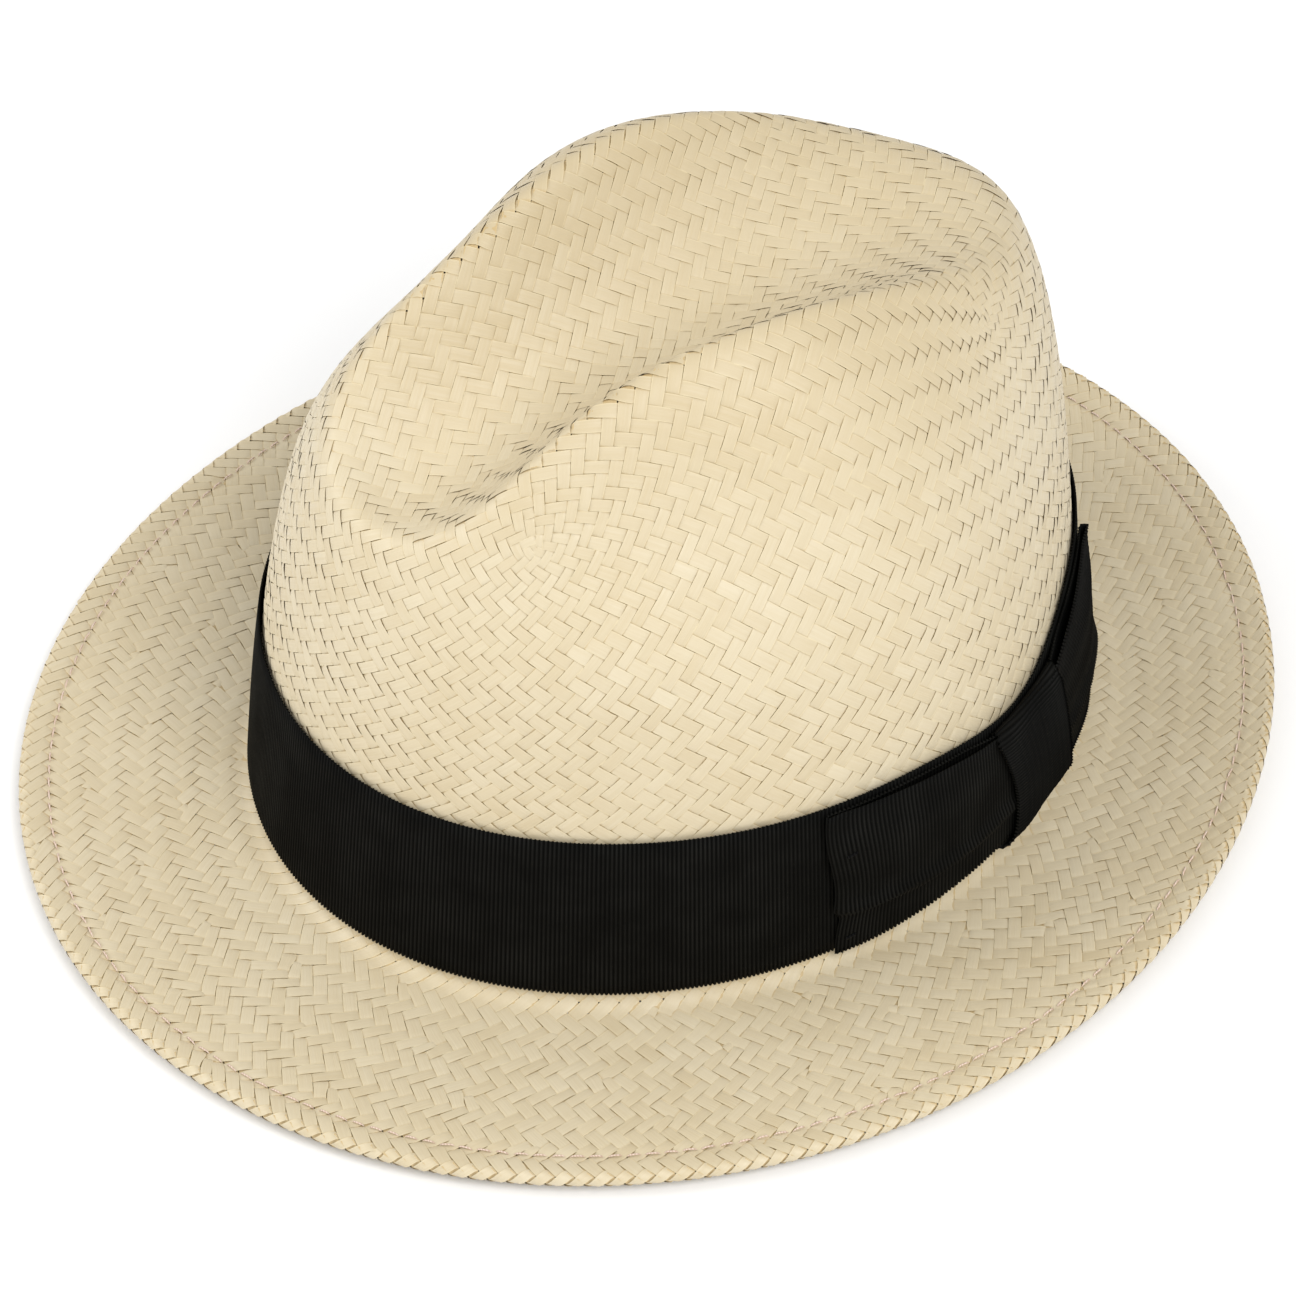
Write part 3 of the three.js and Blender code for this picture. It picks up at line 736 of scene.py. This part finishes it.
def relax_on(surface, places, neighbours, free, rounds):
    """Slides the nodes of a net over a surface until each is midway between its neighbours.
    places are plan-like coordinates: a direction theta and, as length, the part of the line."""
    step = 1e-3

    def at(p):
        return surface.at(np.arctan2(p[:, 1], p[:, 0]), np.hypot(p[:, 0], p[:, 1]))[0]

    for _ in range(rounds):
        here = at(places)
        pull = here[neighbours].mean(axis=1) - here
        along_x = (at(places + (step, 0)) - here) / step
        along_y = (at(places + (0, step)) - here) / step
        xx, yy = (along_x ** 2).sum(1), (along_y ** 2).sum(1)
        xy = (along_x * along_y).sum(1)
        px, py = (along_x * pull).sum(1), (along_y * pull).sum(1)
        share = xx * yy - xy * xy
        move = np.stack([yy * px - xy * py, xx * py - xy * px], axis=1) / share[:, None]
        places = places + np.where(free[:, None], move, 0)
    return places


def cross_neighbours(strips, count):
    """For each node, the nodes before and after it on each of its strips (itself at an end)."""
    found = [[] for _ in range(count)]
    for strip in strips:
        for k, node in enumerate(strip):
            pair = (strip[max(k - 1, 0)], strip[min(k + 1, len(strip) - 1)])
            found[node].append(pair)
    return found


def crown_net(surface):
    """The crown's net: strips of node numbers, places, and whether each strip is on top."""
    strips = box_strips()
    numbers = {}
    for strip in strips:
        for node in strip:
            numbers.setdefault(node, len(numbers))
    nodes = list(numbers)
    around = 4 * (TOP_ACROSS + TOP_ALONG)
    half_step = FOOT_ROUND / around
    places = np.zeros((len(nodes), 2))
    for k, node in enumerate(nodes):
        place, reach = box_round(node)
        theta = float(foot_angles((place - 2 * TOP_ACROSS - TOP_ALONG) * half_step))
        length = surface.length[int(round(theta % TURN / TURN * AROUND)) % AROUND]
        to_side = TOP_ACROSS / max(abs(math.cos(theta)), 1e-6)
        to_end = TOP_ALONG / max(abs(math.sin(theta)), 1e-6)
        edge = TOP_STEP / 2 * min(to_side, to_end) / length
        end = 1 - CROWN_END / length
        part = edge * reach if not node[2] else between(edge, end, node[2] / WALL_ROWS)
        places[k] = part * math.cos(theta), part * math.sin(theta)
    net = [[numbers[n] for n in strip] for strip in strips]
    pairs = cross_neighbours(net, len(nodes))
    neighbours = np.array([(p[0] + p[-1]) for p in pairs])
    free = np.array([n[2] < WALL_ROWS for n in nodes])
    places = relax_on(surface, places, neighbours, free, CROWN_RELAX_ROUNDS)
    return net, places, crown_on_top(strips)


def over_in_twill(row):
    """Whether a strip of the first family is on top: over two rows and under two."""
    return row % 4 < 2


def crown_on_top(strips):
    """Whether each of the crown's strips is on top at each of its nodes, in a 2/2 twill."""
    over = []
    first_is_over = {}
    for strip in strips:
        flags = []
        for k, node in enumerate(strip):
            if node in first_is_over:
                flags.append(not first_is_over[node])
                continue
            other = strip[k + 1] if k + 1 < len(strip) else None
            same_row = other is None or box_row(other) == box_row(node)
            before, after = (strip[k - 1], node) if same_row else (node, other)
            first_is_over[node] = over_in_twill(box_row(node)) == moves_round(before, after)
            flags.append(first_is_over[node])
        over.append(np.array(flags))
    return over


def birth_places(angles, wanted, born):
    """Which nodes of a ring get a pair of new strips beside them, and how many were born."""
    births = set()
    while wanted > len(births) and len(births) < MOST_BIRTHS:
        born += 1
        spot = np.mod(born * BIRTH_TURN, TURN)
        births.add(int(np.argmin(np.abs(turned(angles - spot)))))
    return births, born


def brim_net(surface):
    """The brim's net: rings of crossings, with a pair of new strips wherever a ring needs one."""
    sides = np.diff(surface.points, axis=0, append=surface.points[:1])
    rounds = np.linalg.norm(sides, axis=-1).sum(0)
    parts = np.linspace(0, 1, BRIM_ROWS)
    lengths = np.interp(parts, np.linspace(0, 1, len(rounds)), rounds)
    steps = between(BRIM_INNER_STEP, BRIM_OUTER_STEP, parts)
    count = int(round(lengths[0] / steps[0]))
    places = [(theta, 0.0) for theta in all_round(count)]
    strips = [[k] for k in range(count)] + [[k] for k in range(count)]
    right = list(range(count))  # strip that leaves each node of the ring the positive way round
    left = list(range(count, 2 * count))
    ring = list(range(count))
    links = [[] for _ in range(count)]
    born = 0
    for row in range(1, BRIM_ROWS):
        wanted = int(round((lengths / steps)[: row + 1].max())) - len(ring)
        angles = np.array([places[n][0] for n in ring])
        births, born = birth_places(angles, wanted, born)
        new_ring, new_right, new_left = [], [], []
        for k in range(len(ring)):
            if k in births:
                node = len(places)
                places.append((places[ring[k]][0], parts[row]))
                links.append([])
                strips += [[node], [node]]
                new_ring.append(node)
                new_right.append(len(strips) - 2)
                new_left.append(len(strips) - 1)
            after = (k + 1) % len(ring)
            node = len(places)
            gap = np.mod(places[ring[after]][0] - places[ring[k]][0], TURN)
            places.append((places[ring[k]][0] + gap / 2, parts[row]))
            links.append([ring[k], ring[after]])
            links[ring[k]].append(node)
            links[ring[after]].append(node)
            strips[right[k]].append(node)
            strips[left[after]].append(node)
            new_ring.append(node)
            new_right.append(right[k])
            new_left.append(left[after])
        ring, right, left = new_ring, new_right, new_left
    places = relax_angles(np.array(places), links, count)
    return tuck_starts(strips, places, rows_on_top(strips, places), count)


def tuck_starts(strips, places, over, count):
    """Starts each strip that doesn't come from the first ring a little earlier, underneath."""
    tucked = []
    for index, strip in enumerate(strips):
        if strip[0] >= count and len(strip) > 1:
            step = places[strip[1]] - places[strip[0]]
            step[0] = turned(step[0])
            tucked.append(places[strip[0]] - STRIP_TUCK * step)
            strip.insert(0, len(places) + len(tucked) - 1)
            over[index] = np.concatenate([[False], over[index]])
    return strips, np.concatenate([places, tucked]), over


def relax_angles(places, links, fixed):
    """Evens out the angles of the brim's nodes, each midway between those it is linked to."""
    widest = max(len(found) for found in links)
    padded = np.array([found + [k] * (widest - len(found)) for k, found in enumerate(links)])
    real = np.array([[1] * len(found) + [0] * (widest - len(found)) for found in links])
    for _ in range(BRIM_RELAX_ROUNDS):
        away = turned(places[padded, 0] - places[:, :1])
        move = (away * real).sum(1) / real.sum(1)
        move[:fixed] = 0
        places[:, 0] += move
    return places


def rows_on_top(strips, places):
    """Whether each strip of the brim is on top at each of its nodes."""
    over = []
    for strip in strips:
        rows = np.round(places[strip, 1] * (BRIM_ROWS - 1)).astype(int)
        second = strip[min(1, len(strip) - 1)]
        turn = turned(places[second, 0] - places[strip[0], 0])
        over.append(over_in_twill(rows) == (turn > 0))
    return over


def smooth_line(points, k, t):
    """Points t of the way from point k to the next, on a smooth curve through them all."""
    p0, p1 = points[np.maximum(k - 1, 0)], points[k]
    p2, p3 = points[k + 1], points[np.minimum(k + 2, len(points) - 1)]
    bend = 2 * p0 - 5 * p1 + 4 * p2 - p3 + t * (3 * (p1 - p2) + p3 - p0)
    return p1 + 0.5 * t * (p2 - p0 + t * bend)


def strip_widths(strip, pairs, here, sides):
    """The room for a strip at each of its nodes: the mean distance, measured across it, to
    the crossings before and after on the strip that it crosses there."""
    widths = []
    for k, node in enumerate(strip):
        last = strip[max(k - 1, 0)]
        crossing = [pair for pair in pairs[node] if last not in pair]
        before, after = (crossing or pairs[node])[0]
        steps = max((after != node) + (before != node), 1)
        widths.append(abs(float((here[after] - here[before]) @ sides[k * STRIP_SAMPLES])) / steps)
    usual = np.median(widths)
    narrowest, widest = STRIP_WIDTHS
    return np.clip(widths, narrowest * usual, widest * usual)


def strip_mesh(surface, strips, places, over, polar, chosen):
    """Vertices, faces, UVs and values of the chosen strips of a net."""
    vertices, faces = [], []
    uvs = {"OFBake": [], "grain": []}
    values = {"shade": [], "under_shade": [], "edge_highlight": []}
    start = 0

    def at(p):
        if polar:
            return surface.at(np.arctan2(p[:, 1], p[:, 0]), np.hypot(p[:, 0], p[:, 1]))
        return surface.at(p[:, 0], p[:, 1])

    pairs = cross_neighbours(strips, len(places))
    here = at(places)[0]
    for lane, index in enumerate(chosen):
        strip = strips[index]
        if len(strip) < 3:
            continue
        own = places[strip].copy()
        if not polar:
            own[:, 0] = np.unwrap(own[:, 0])
        count = (len(strip) - 1) * STRIP_SAMPLES + 1
        run = np.arange(count) / STRIP_SAMPLES
        k = np.minimum(run.astype(int), len(strip) - 2)
        t = run - k

        def drift():
            return np.interp(run, np.arange(len(strip)), random.normal(size=len(strip)))

        centre, normal = at(smooth_line(own, k, t[:, None]))
        side = unit(np.cross(normal, np.gradient(centre, axis=0)))
        width = np.interp(run, np.arange(len(strip)), strip_widths(strip, pairs, here, side))
        fill = STRIP_FILL + STRIP_FILL_SPREAD * random.uniform(-1, 1)
        half = 0.5 * fill * width * (1 + STRIP_WOBBLE * drift())
        sign = np.where(over[index], 1.0, -1.0)
        change_start, change_length = STRIP_CHANGE
        level = between(sign[k], sign[k + 1], smooth_step((t - change_start) / change_length))
        bend = np.linalg.norm(np.gradient(normal, axis=0), axis=1)
        bend /= np.linalg.norm(np.gradient(centre, axis=0), axis=1)
        press = 1 - BEND_PRESS * smooth_step(bend / SHARP_BEND)
        height = STRIP_LIFT * press * level
        tilt = STRIP_TILT * press * drift()
        tone = 0.5 + TONE_SPREAD * random.normal() + TONE_DRIFT * drift()
        length = run_along(centre)
        for a in STRIP_ACROSS:
            lift = height - STRIP_ROUNDING * a ** 4 + tilt * a
            vertices.append(centre + side * (half * a)[:, None] + normal * lift[:, None])
            across = (lane + 0.5 + BAKE_LANE * a) / len(chosen)
            uvs["OFBake"].append(np.stack([run / run[-1], across + 0 * run], axis=1))
            uvs["grain"].append(np.stack([length, half * a + GRAIN_SHIFT * index], axis=1))
            values["shade"].append(tone)
            # painted shade: how far under its crossings a strip lies
            values["under_shade"].append(np.clip(0.5 - 0.5 * level, 0, 1))
            # painted highlight: how near a point is to its strip's edge
            values["edge_highlight"].append(np.full(count, abs(a)))
        faces.append(grid_faces(len(STRIP_ACROSS), count)[:, ::-1] + start)
        start += count * len(STRIP_ACROSS)
    return (
        np.concatenate(vertices),
        np.concatenate(faces),
        {name: np.concatenate(parts) for name, parts in uvs.items()},
        {name: np.concatenate(parts) for name, parts in values.items()},
    )


def weave(name, surface, net, polar, material):
    """Two pieces for a net, so that neither is too heavy: every other strip goes to each."""
    strips, places, over = net
    for part, label in ((0, "a"), (1, "b")):
        chosen = range(part, len(strips), 2)
        vertices, faces, uvs, values = strip_mesh(surface, strips, places, over, polar, chosen)
        piece = mesh_piece(f"{name}_{label}", vertices, faces, material, uvs, values)
        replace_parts(piece, "straw_body")


# ---- ribbon, leather and thread --------------------------------------------------------

def ribbed_cloth(name, place, length, rows, material, slant=0.0):
    """A closed loop of grosgrain: place turns parts of its length and its width into points.
    Ribs lie across it, leaning by slant ribs, and their ends scallop its turned edges."""
    ribs = int(round(length / RIB_PITCH))
    columns = ribs * RIB_SAMPLES
    along = np.arange(columns) / columns
    across = np.concatenate([[0, 0], np.linspace(0, 1, rows), [1, 1]])
    s, v = np.meshgrid(along, across, indexing="ij")
    base = place(s, v)
    forward = np.roll(base, -1, axis=0) - np.roll(base, 1, axis=0)
    inner = np.gradient(base[:, 2:-2], axis=1)
    upward = np.concatenate([inner[:, :1], inner[:, :1], inner, inner[:, -1:], inner[:, -1:]], axis=1)
    normal = unit(np.cross(forward, upward))
    crest = np.abs(np.sin(math.pi * (s * ribs + slant * v))) ** RIB_ROUNDING
    lift = RIB_HEIGHT * (crest - 1)
    for row, turn in enumerate(EDGE_TURNS):
        lift[:, (row, -1 - row)] -= turn
    scallop = np.zeros_like(v)
    scallop[:, 1:3] = -EDGE_SCALLOP * crest[:, 1:3]
    scallop[:, -3:-1] = EDGE_SCALLOP * crest[:, -3:-1]
    points = base + normal * lift[..., None] + unit(upward) * scallop[..., None]
    faces = grid_faces(columns, len(across), True)
    uv = np.stack([s * length, v * BAND_WIDTH], axis=-1).reshape(-1, 2)
    return mesh_piece(
        name, points.reshape(-1, 3), faces, material, {"cloth": uv}, {"crest": crest}
    )


def band_top(theta):
    """The height of the band's upper edge, which the bow draws down."""
    away = np.arctan2(np.sin(theta - KNOT_ANGLE), np.cos(theta - KNOT_ANGLE))
    return FOOT_HEIGHT + GAP + BAND_WIDTH - BAND_DIP * hump(away, BAND_DIP_SPREAD)


def make_band(wall, material):
    """The ribbon round the crown, without the join that the bow hides."""
    round_it = FOOT_ROUND + TURN * GAP

    def place(s, v):
        theta = foot_angles(s * FOOT_ROUND)
        z = between(FOOT_HEIGHT + GAP, band_top(theta), v)
        wave = BAND_WAVE * np.sin(9 * theta + 1) * np.sin(math.pi * v)
        return wall.at(theta, z, GAP + RIBBON - 0.05 * MM + wave)

    piece = ribbed_cloth("hat_band_ribbon", place, round_it, 14, material)
    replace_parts(piece, "hat_band")


def closed_path(corners, tension=0.3, steps=24):
    """Points along a smooth closed curve through the corners, and how far along each one is."""
    corners = np.array(corners)
    before, after = np.roll(corners, 1, axis=0), np.roll(corners, -1, axis=0)
    tangent = tension * (after - before)
    t = np.arange(steps)[:, None, None] / steps
    a = 2 * t ** 3 - 3 * t ** 2 + 1
    b = t ** 3 - 2 * t ** 2 + t
    c = 3 * t ** 2 - 2 * t ** 3
    d = t ** 3 - t ** 2
    points = a * corners + b * tangent + c * after + d * np.roll(tangent, -1, axis=0)
    points = points.transpose(1, 0, 2).reshape(-1, 2)
    points = np.concatenate([points, points[:1]])
    return points, run_along(points)


def along_path(path, s):
    points, run = path
    at = np.mod(s, 1) * run[-1]
    return np.interp(at, run, points[:, 0]), np.interp(at, run, points[:, 1])


def bow_point(wall, along, stand_off, z):
    return wall.at(KNOT_ANGLE + along / BOW_RADIUS, z, stand_off)


def make_loop(wall, material, side, length, bulge, closing, name, node, slant):
    """One loop of the bow: out from the knot, round its soft end and back."""
    near = BOW_NEAR + RIBBON / 2
    root_near = near + RIBBON + GAP
    root_far = root_near + 2 * RIBBON
    face = bulge - RIBBON / 2

    def run(part):
        return between(KNOT_HALF_LENGTH, length, part)

    corners = [
        (LOOP_ROOT, root_near + RIBBON),
        (LOOP_ROOT + 1 * MM, root_near),
        (KNOT_HALF_LENGTH, root_near),
        (run(0.2), near),
        (run(0.5), near),
        (run(0.8), near),
        (length - 1.5 * MM, near),
        (length - RIBBON / 2, near + 0.8 * MM),
        (length - 1.5 * MM, near + 1.6 * MM),
        (run(0.8), face - 0.6 * MM),
        (run(0.5), face),
        (run(0.2), face - 0.4 * MM),
        (KNOT_HALF_LENGTH, root_far),
        (LOOP_ROOT + 1 * MM, root_far),
    ]
    path = closed_path(corners)

    def place(s, v):
        along, stand_off = along_path(path, s)
        spread = smooth_step((along - KNOT_HALF_LENGTH) / (length - KNOT_HALF_LENGTH))
        bottom = between(KNOT_BOTTOM + 2 * MM, FOOT_HEIGHT + 2 * GAP, spread)
        top = band_top(KNOT_ANGLE + side * along / BOW_RADIUS) - 2 * GAP
        z = between(bottom, top, v)
        fold = smooth_step((z - FOOT_HEIGHT - PLEAT_HEIGHT + 1.5 * MM) / (3 * MM))
        front = smooth_step((stand_off - near - 1.2 * MM) / (1 * MM))
        shut = 1 - closing * front * smooth_step((v - 0.7) / 0.3)
        folded = near + (stand_off - near) * between(PLEAT_PRESS, 1, fold) * shut
        wavy = FREE_END_WAVE * np.cos(7 * v) - 2.2 * MM * (1 - fold)
        roll = FOLD_ROLL * hump(z - FOOT_HEIGHT - PLEAT_HEIGHT - 1.5 * MM, 1.8 * MM)
        edge = spread ** 4 * wavy
        stood = between(stand_off, folded, np.sqrt(spread)) + roll * front
        return bow_point(wall, side * (along + edge), stood, z)

    ribbon = path[1][-1]
    piece = ribbed_cloth(name, place, ribbon, 26, material, slant)
    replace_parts(piece, node)


def make_knot(wall, material):
    """The ribbon wound round the bow's middle, drawn into soft pleats."""
    near = BOW_NEAR + RIBBON / 2
    face = KNOT_STAND_OFF - RIBBON / 2
    bottom = KNOT_BOTTOM + RIBBON / 2
    top = KNOT_TOP - RIBBON / 2

    def height(part):
        return between(bottom, top, part)

    corners = [
        (near, height(0.04)),
        (near + 1 * MM, bottom),
        (face - 1.4 * MM, height(0.01)),
        (face - 0.2 * MM, height(0.1)),
        (face, height(0.5)),
        (face - 0.2 * MM, height(0.9)),
        (face - 1.4 * MM, height(0.99)),
        (near + 1 * MM, top),
        (near, height(0.96)),
        (near, height(0.7)),
        (near, height(0.3)),
    ]
    path = closed_path(corners)

    def place(s, v):
        stand_off, z = along_path(path, s)
        front = smooth_step((stand_off - near - 1.5 * MM) / (2 * MM))
        pleat = 0.45 * MM * np.sin(v * 7.0 + 0.7) * front
        sag = between(1.0, 0.88, np.abs(2 * v - 1) ** 2)
        along = between(-KNOT_HALF_LENGTH, KNOT_HALF_LENGTH, v)
        drawn = np.sin(math.pi * np.clip((z - bottom) / (top - bottom), 0, 1) ** 0.8)
        skew = -KNOT_SKEW * between(1, 0.2, v) * drawn * front
        lean = -0.10 * (z - height(0.5)) * front
        deep = between(near, stand_off, sag)
        return bow_point(wall, along - skew + lean, np.where(front > 0, deep, stand_off) + pleat, z)

    ribbon = path[1][-1]
    piece = ribbed_cloth("bow_knot_ribbon", place, ribbon, 30, material, slant=2.0)
    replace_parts(piece, "bow_knot")


def make_sweatband(wall, material):
    """The leather band inside the crown: two faces with a rounded top edge and a reeded foot."""
    theta = all_round(SWEATBAND_COLUMNS)
    back = -(CLOTH + GAP)
    front = back - LEATHER
    top = SWEATBAND_BOTTOM + SWEATBAND_WIDTH
    z = np.linspace(SWEATBAND_BOTTOM, top, SWEATBAND_ROWS)
    reed = REED_DEPTH * hump(z - SWEATBAND_BOTTOM - REED_HEIGHT, REED_WIDTH)
    seam = SEAM_DEPTH * hump(z - SWEATBAND_STITCH_HEIGHT, SEAM_WIDTH)
    section = list(zip(front - reed + seam, z))
    section[-1] = (front + 0.25 * LEATHER, top - 0.05 * MM)
    section += [(between(front, back, 0.6), top), (back, top - 0.3 * MM), (back, SWEATBAND_BOTTOM)]
    lines = []
    for stand_off, height in section:
        if height >= FOOT_HEIGHT:
            lines.append(wall.at(theta, height, stand_off))
        else:
            lines.append(foot_point(theta, stand_off, height))
    points = np.array(lines).transpose(1, 0, 2)
    faces = grid_faces(len(theta), len(section), True, True)[:, ::-1]
    piece = mesh_piece("sweatband_skin", points.reshape(-1, 3), faces, material)
    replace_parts(piece, "sweatband")
    foot = points[:, 0]
    round_it = float(np.linalg.norm(foot - np.roll(foot, 1, axis=0), axis=1).sum())


def make_stitches(name, node, line, out, sink, material):
    """A row of short stitches along a closed line round the hat. Their ends sink into it."""
    closed = np.concatenate([line, line[:1]])
    run = run_along(closed)
    outs = np.concatenate([out, out[:1]])
    count = int(round(run[-1] / STITCH_PITCH))
    u = np.linspace(0, 1, STITCH_RINGS)
    fat = np.sqrt(np.clip(1 - (2 * u - 1) ** 4, 0.02, 1))
    turn = all_round(STITCH_SIDES)
    vertices, faces = [], []
    for k in range(count):
        length = STITCH_LENGTH * (1 + STITCH_SPREAD * random.normal())
        at = (k + 0.5) * run[-1] / count + (u - 0.5) * length
        centre = np.stack([np.interp(at, run, closed[:, i]) for i in range(3)], axis=1)
        across = np.stack([np.interp(at, run, outs[:, i]) for i in range(3)], axis=1)
        swing = STITCH_SWING * random.normal()
        centre = centre + across * (swing * (2 * u - 1))[:, None]
        centre[:, 2] -= sink * (2 * u - 1) ** 4
        ring = np.cos(turn)[None, :, None] * across[:, None, :]
        ring = ring + np.sin(turn)[None, :, None] * np.array([0, 0, 0.8])
        points = centre[:, None, :] + ring * (THREAD_RADIUS * fat)[:, None, None]
        vertices.append(points.reshape(-1, 3))
        quads = grid_faces(STITCH_RINGS, STITCH_SIDES, closed_across=True)[:, ::-1]
        faces.append(quads + k * STITCH_RINGS * STITCH_SIDES)
    vertices, faces = np.concatenate(vertices), np.concatenate(faces)
    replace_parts(mesh_piece(name, vertices, faces, material), node)


def hem_line(height):
    """The line of stitches on the brim, moved up by height, and its outward directions."""
    theta = all_round(AROUND)
    point = brim_top_point(theta, brim_part(theta, HEM_WIDTH + 0 * theta))
    point[:, 2] += height
    return point, outward(theta, BRIM_HALF_WIDTH, BRIM_HALF_LENGTH)


def sweatband_line(wall):
    """The line of stitches on the face of the sweatband, and its outward directions."""
    theta = all_round(AROUND)
    point = wall.at(theta, SWEATBAND_STITCH_HEIGHT, -(CLOTH + GAP + LEATHER + 0.1 * MM))
    return point, outward(theta, FOOT_HALF_WIDTH, FOOT_HALF_LENGTH)


# ---- stage -----------------------------------------------------------------------------

def make_floor():
    mesh = bpy.data.meshes.new("floor")
    size = FLOOR_HALF_SIZE
    corners = [(-size, -size, 0), (size, -size, 0), (size, size, 0), (-size, size, 0)]
    mesh.from_pydata(corners, [], [(0, 1, 2, 3)])
    shader = Shader("floor", FLOOR_GREY, 0.9)
    shader.set("Roughness", shader.remap(shader.noise(shader.place(), 3.0), 0, 1, 0.85, 0.95))
    mesh.materials.append(shader.material)
    add_object("floor", mesh)


def aim(obj, azimuth, elevation, distance):
    """Places an object this far from the point that the camera looks at, facing it."""
    a, e = math.radians(azimuth), math.radians(elevation)
    away = Vector((math.cos(e) * math.cos(a), math.cos(e) * math.sin(a), math.sin(e)))
    obj.location = Vector(LOOK_AT) + away * distance
    obj.rotation_euler = away.to_track_quat("Z", "Y").to_euler()


def make_light(name, azimuth, elevation, distance, size, power):
    lamp = bpy.data.lights.new(name, "AREA")
    lamp.shape = "DISK"
    lamp.size = size
    lamp.energy = power
    aim(add_object(name, lamp), azimuth, elevation, distance)


def make_world():
    """A white studio that fills the shadows."""
    world = bpy.data.worlds.new("studio")
    bpy.context.scene.world = world
    world.use_nodes = True
    background = world.node_tree.nodes["Background"]
    background.inputs["Strength"].default_value = WORLD_STRENGTH
    background.inputs["Color"].default_value = (1, 1, 1, 1)


def make_camera():
    data = bpy.data.cameras.new("camera")
    data.lens = CAMERA_LENS
    data.sensor_width = 36.0
    data.shift_x, data.shift_y = CAMERA_SHIFT
    camera = add_object("camera", data)
    aim(camera, CAMERA_AZIMUTH, CAMERA_ELEVATION, CAMERA_DISTANCE)
    bpy.context.scene.camera = camera


# ---- the hat ---------------------------------------------------------------------------

make_camera()
make_world()
make_floor()
make_light("key", **KEY_LIGHT)
make_light("fill", **FILL_LIGHT)
bpy.context.scene.view_settings.view_transform = "Standard"

wall = Wall()
straw = straw_material()
ribbon = ribbon_material()
beige_thread = thread_material("beige_thread", BEIGE, 700.0)
black_thread = thread_material("black_thread", BLACK, 700.0, 0.05)
cord = thread_material("cotton_cord", COTTON, 400.0)
leather = leather_material()

crown = Surface(crown_line, CLOTH / 2)
weave("straw_crown", crown, crown_net(crown), True, straw)
brim = Surface(brim_line, CLOTH / 2, along=600)
weave("straw_brim", brim, brim_net(brim), False, straw)

make_band(wall, ribbon)
make_loop(
    wall, ribbon, -1, FRONT_LOOP_LENGTH, FRONT_LOOP_BULGE, FRONT_LOOP_CLOSING,
    "bow_front_ribbon", "bow_front_loop", 0.0,
)
make_loop(
    wall, ribbon, 1, REAR_LOOP_LENGTH, REAR_LOOP_BULGE, REAR_LOOP_CLOSING,
    "bow_rear_ribbon", "bow_rear_loop", 9.0,
)
make_knot(wall, ribbon)
make_sweatband(wall, leather)

for name, node, (line, out), sink in (
    ("hem_upper_stitches", "hem_upper_thread", hem_line(0.15 * MM), 0.5 * MM),
    ("hem_lower_stitches", "hem_lower_thread", hem_line(-2 * (CLOTH + GAP)), -0.4 * MM),
    ("sweatband_stitches", "sweatband_thread", sweatband_line(wall), 0.0),
):
    make_stitches(name, node, line, out, sink, beige_thread)

for node, material in (
    ("brim_edge_cord", cord),
    ("bow_tack_upper", black_thread),
    ("bow_tack_lower", black_thread),
):
    materials = bpy.data.objects[node].data.materials
    materials.clear()
    materials.append(material)
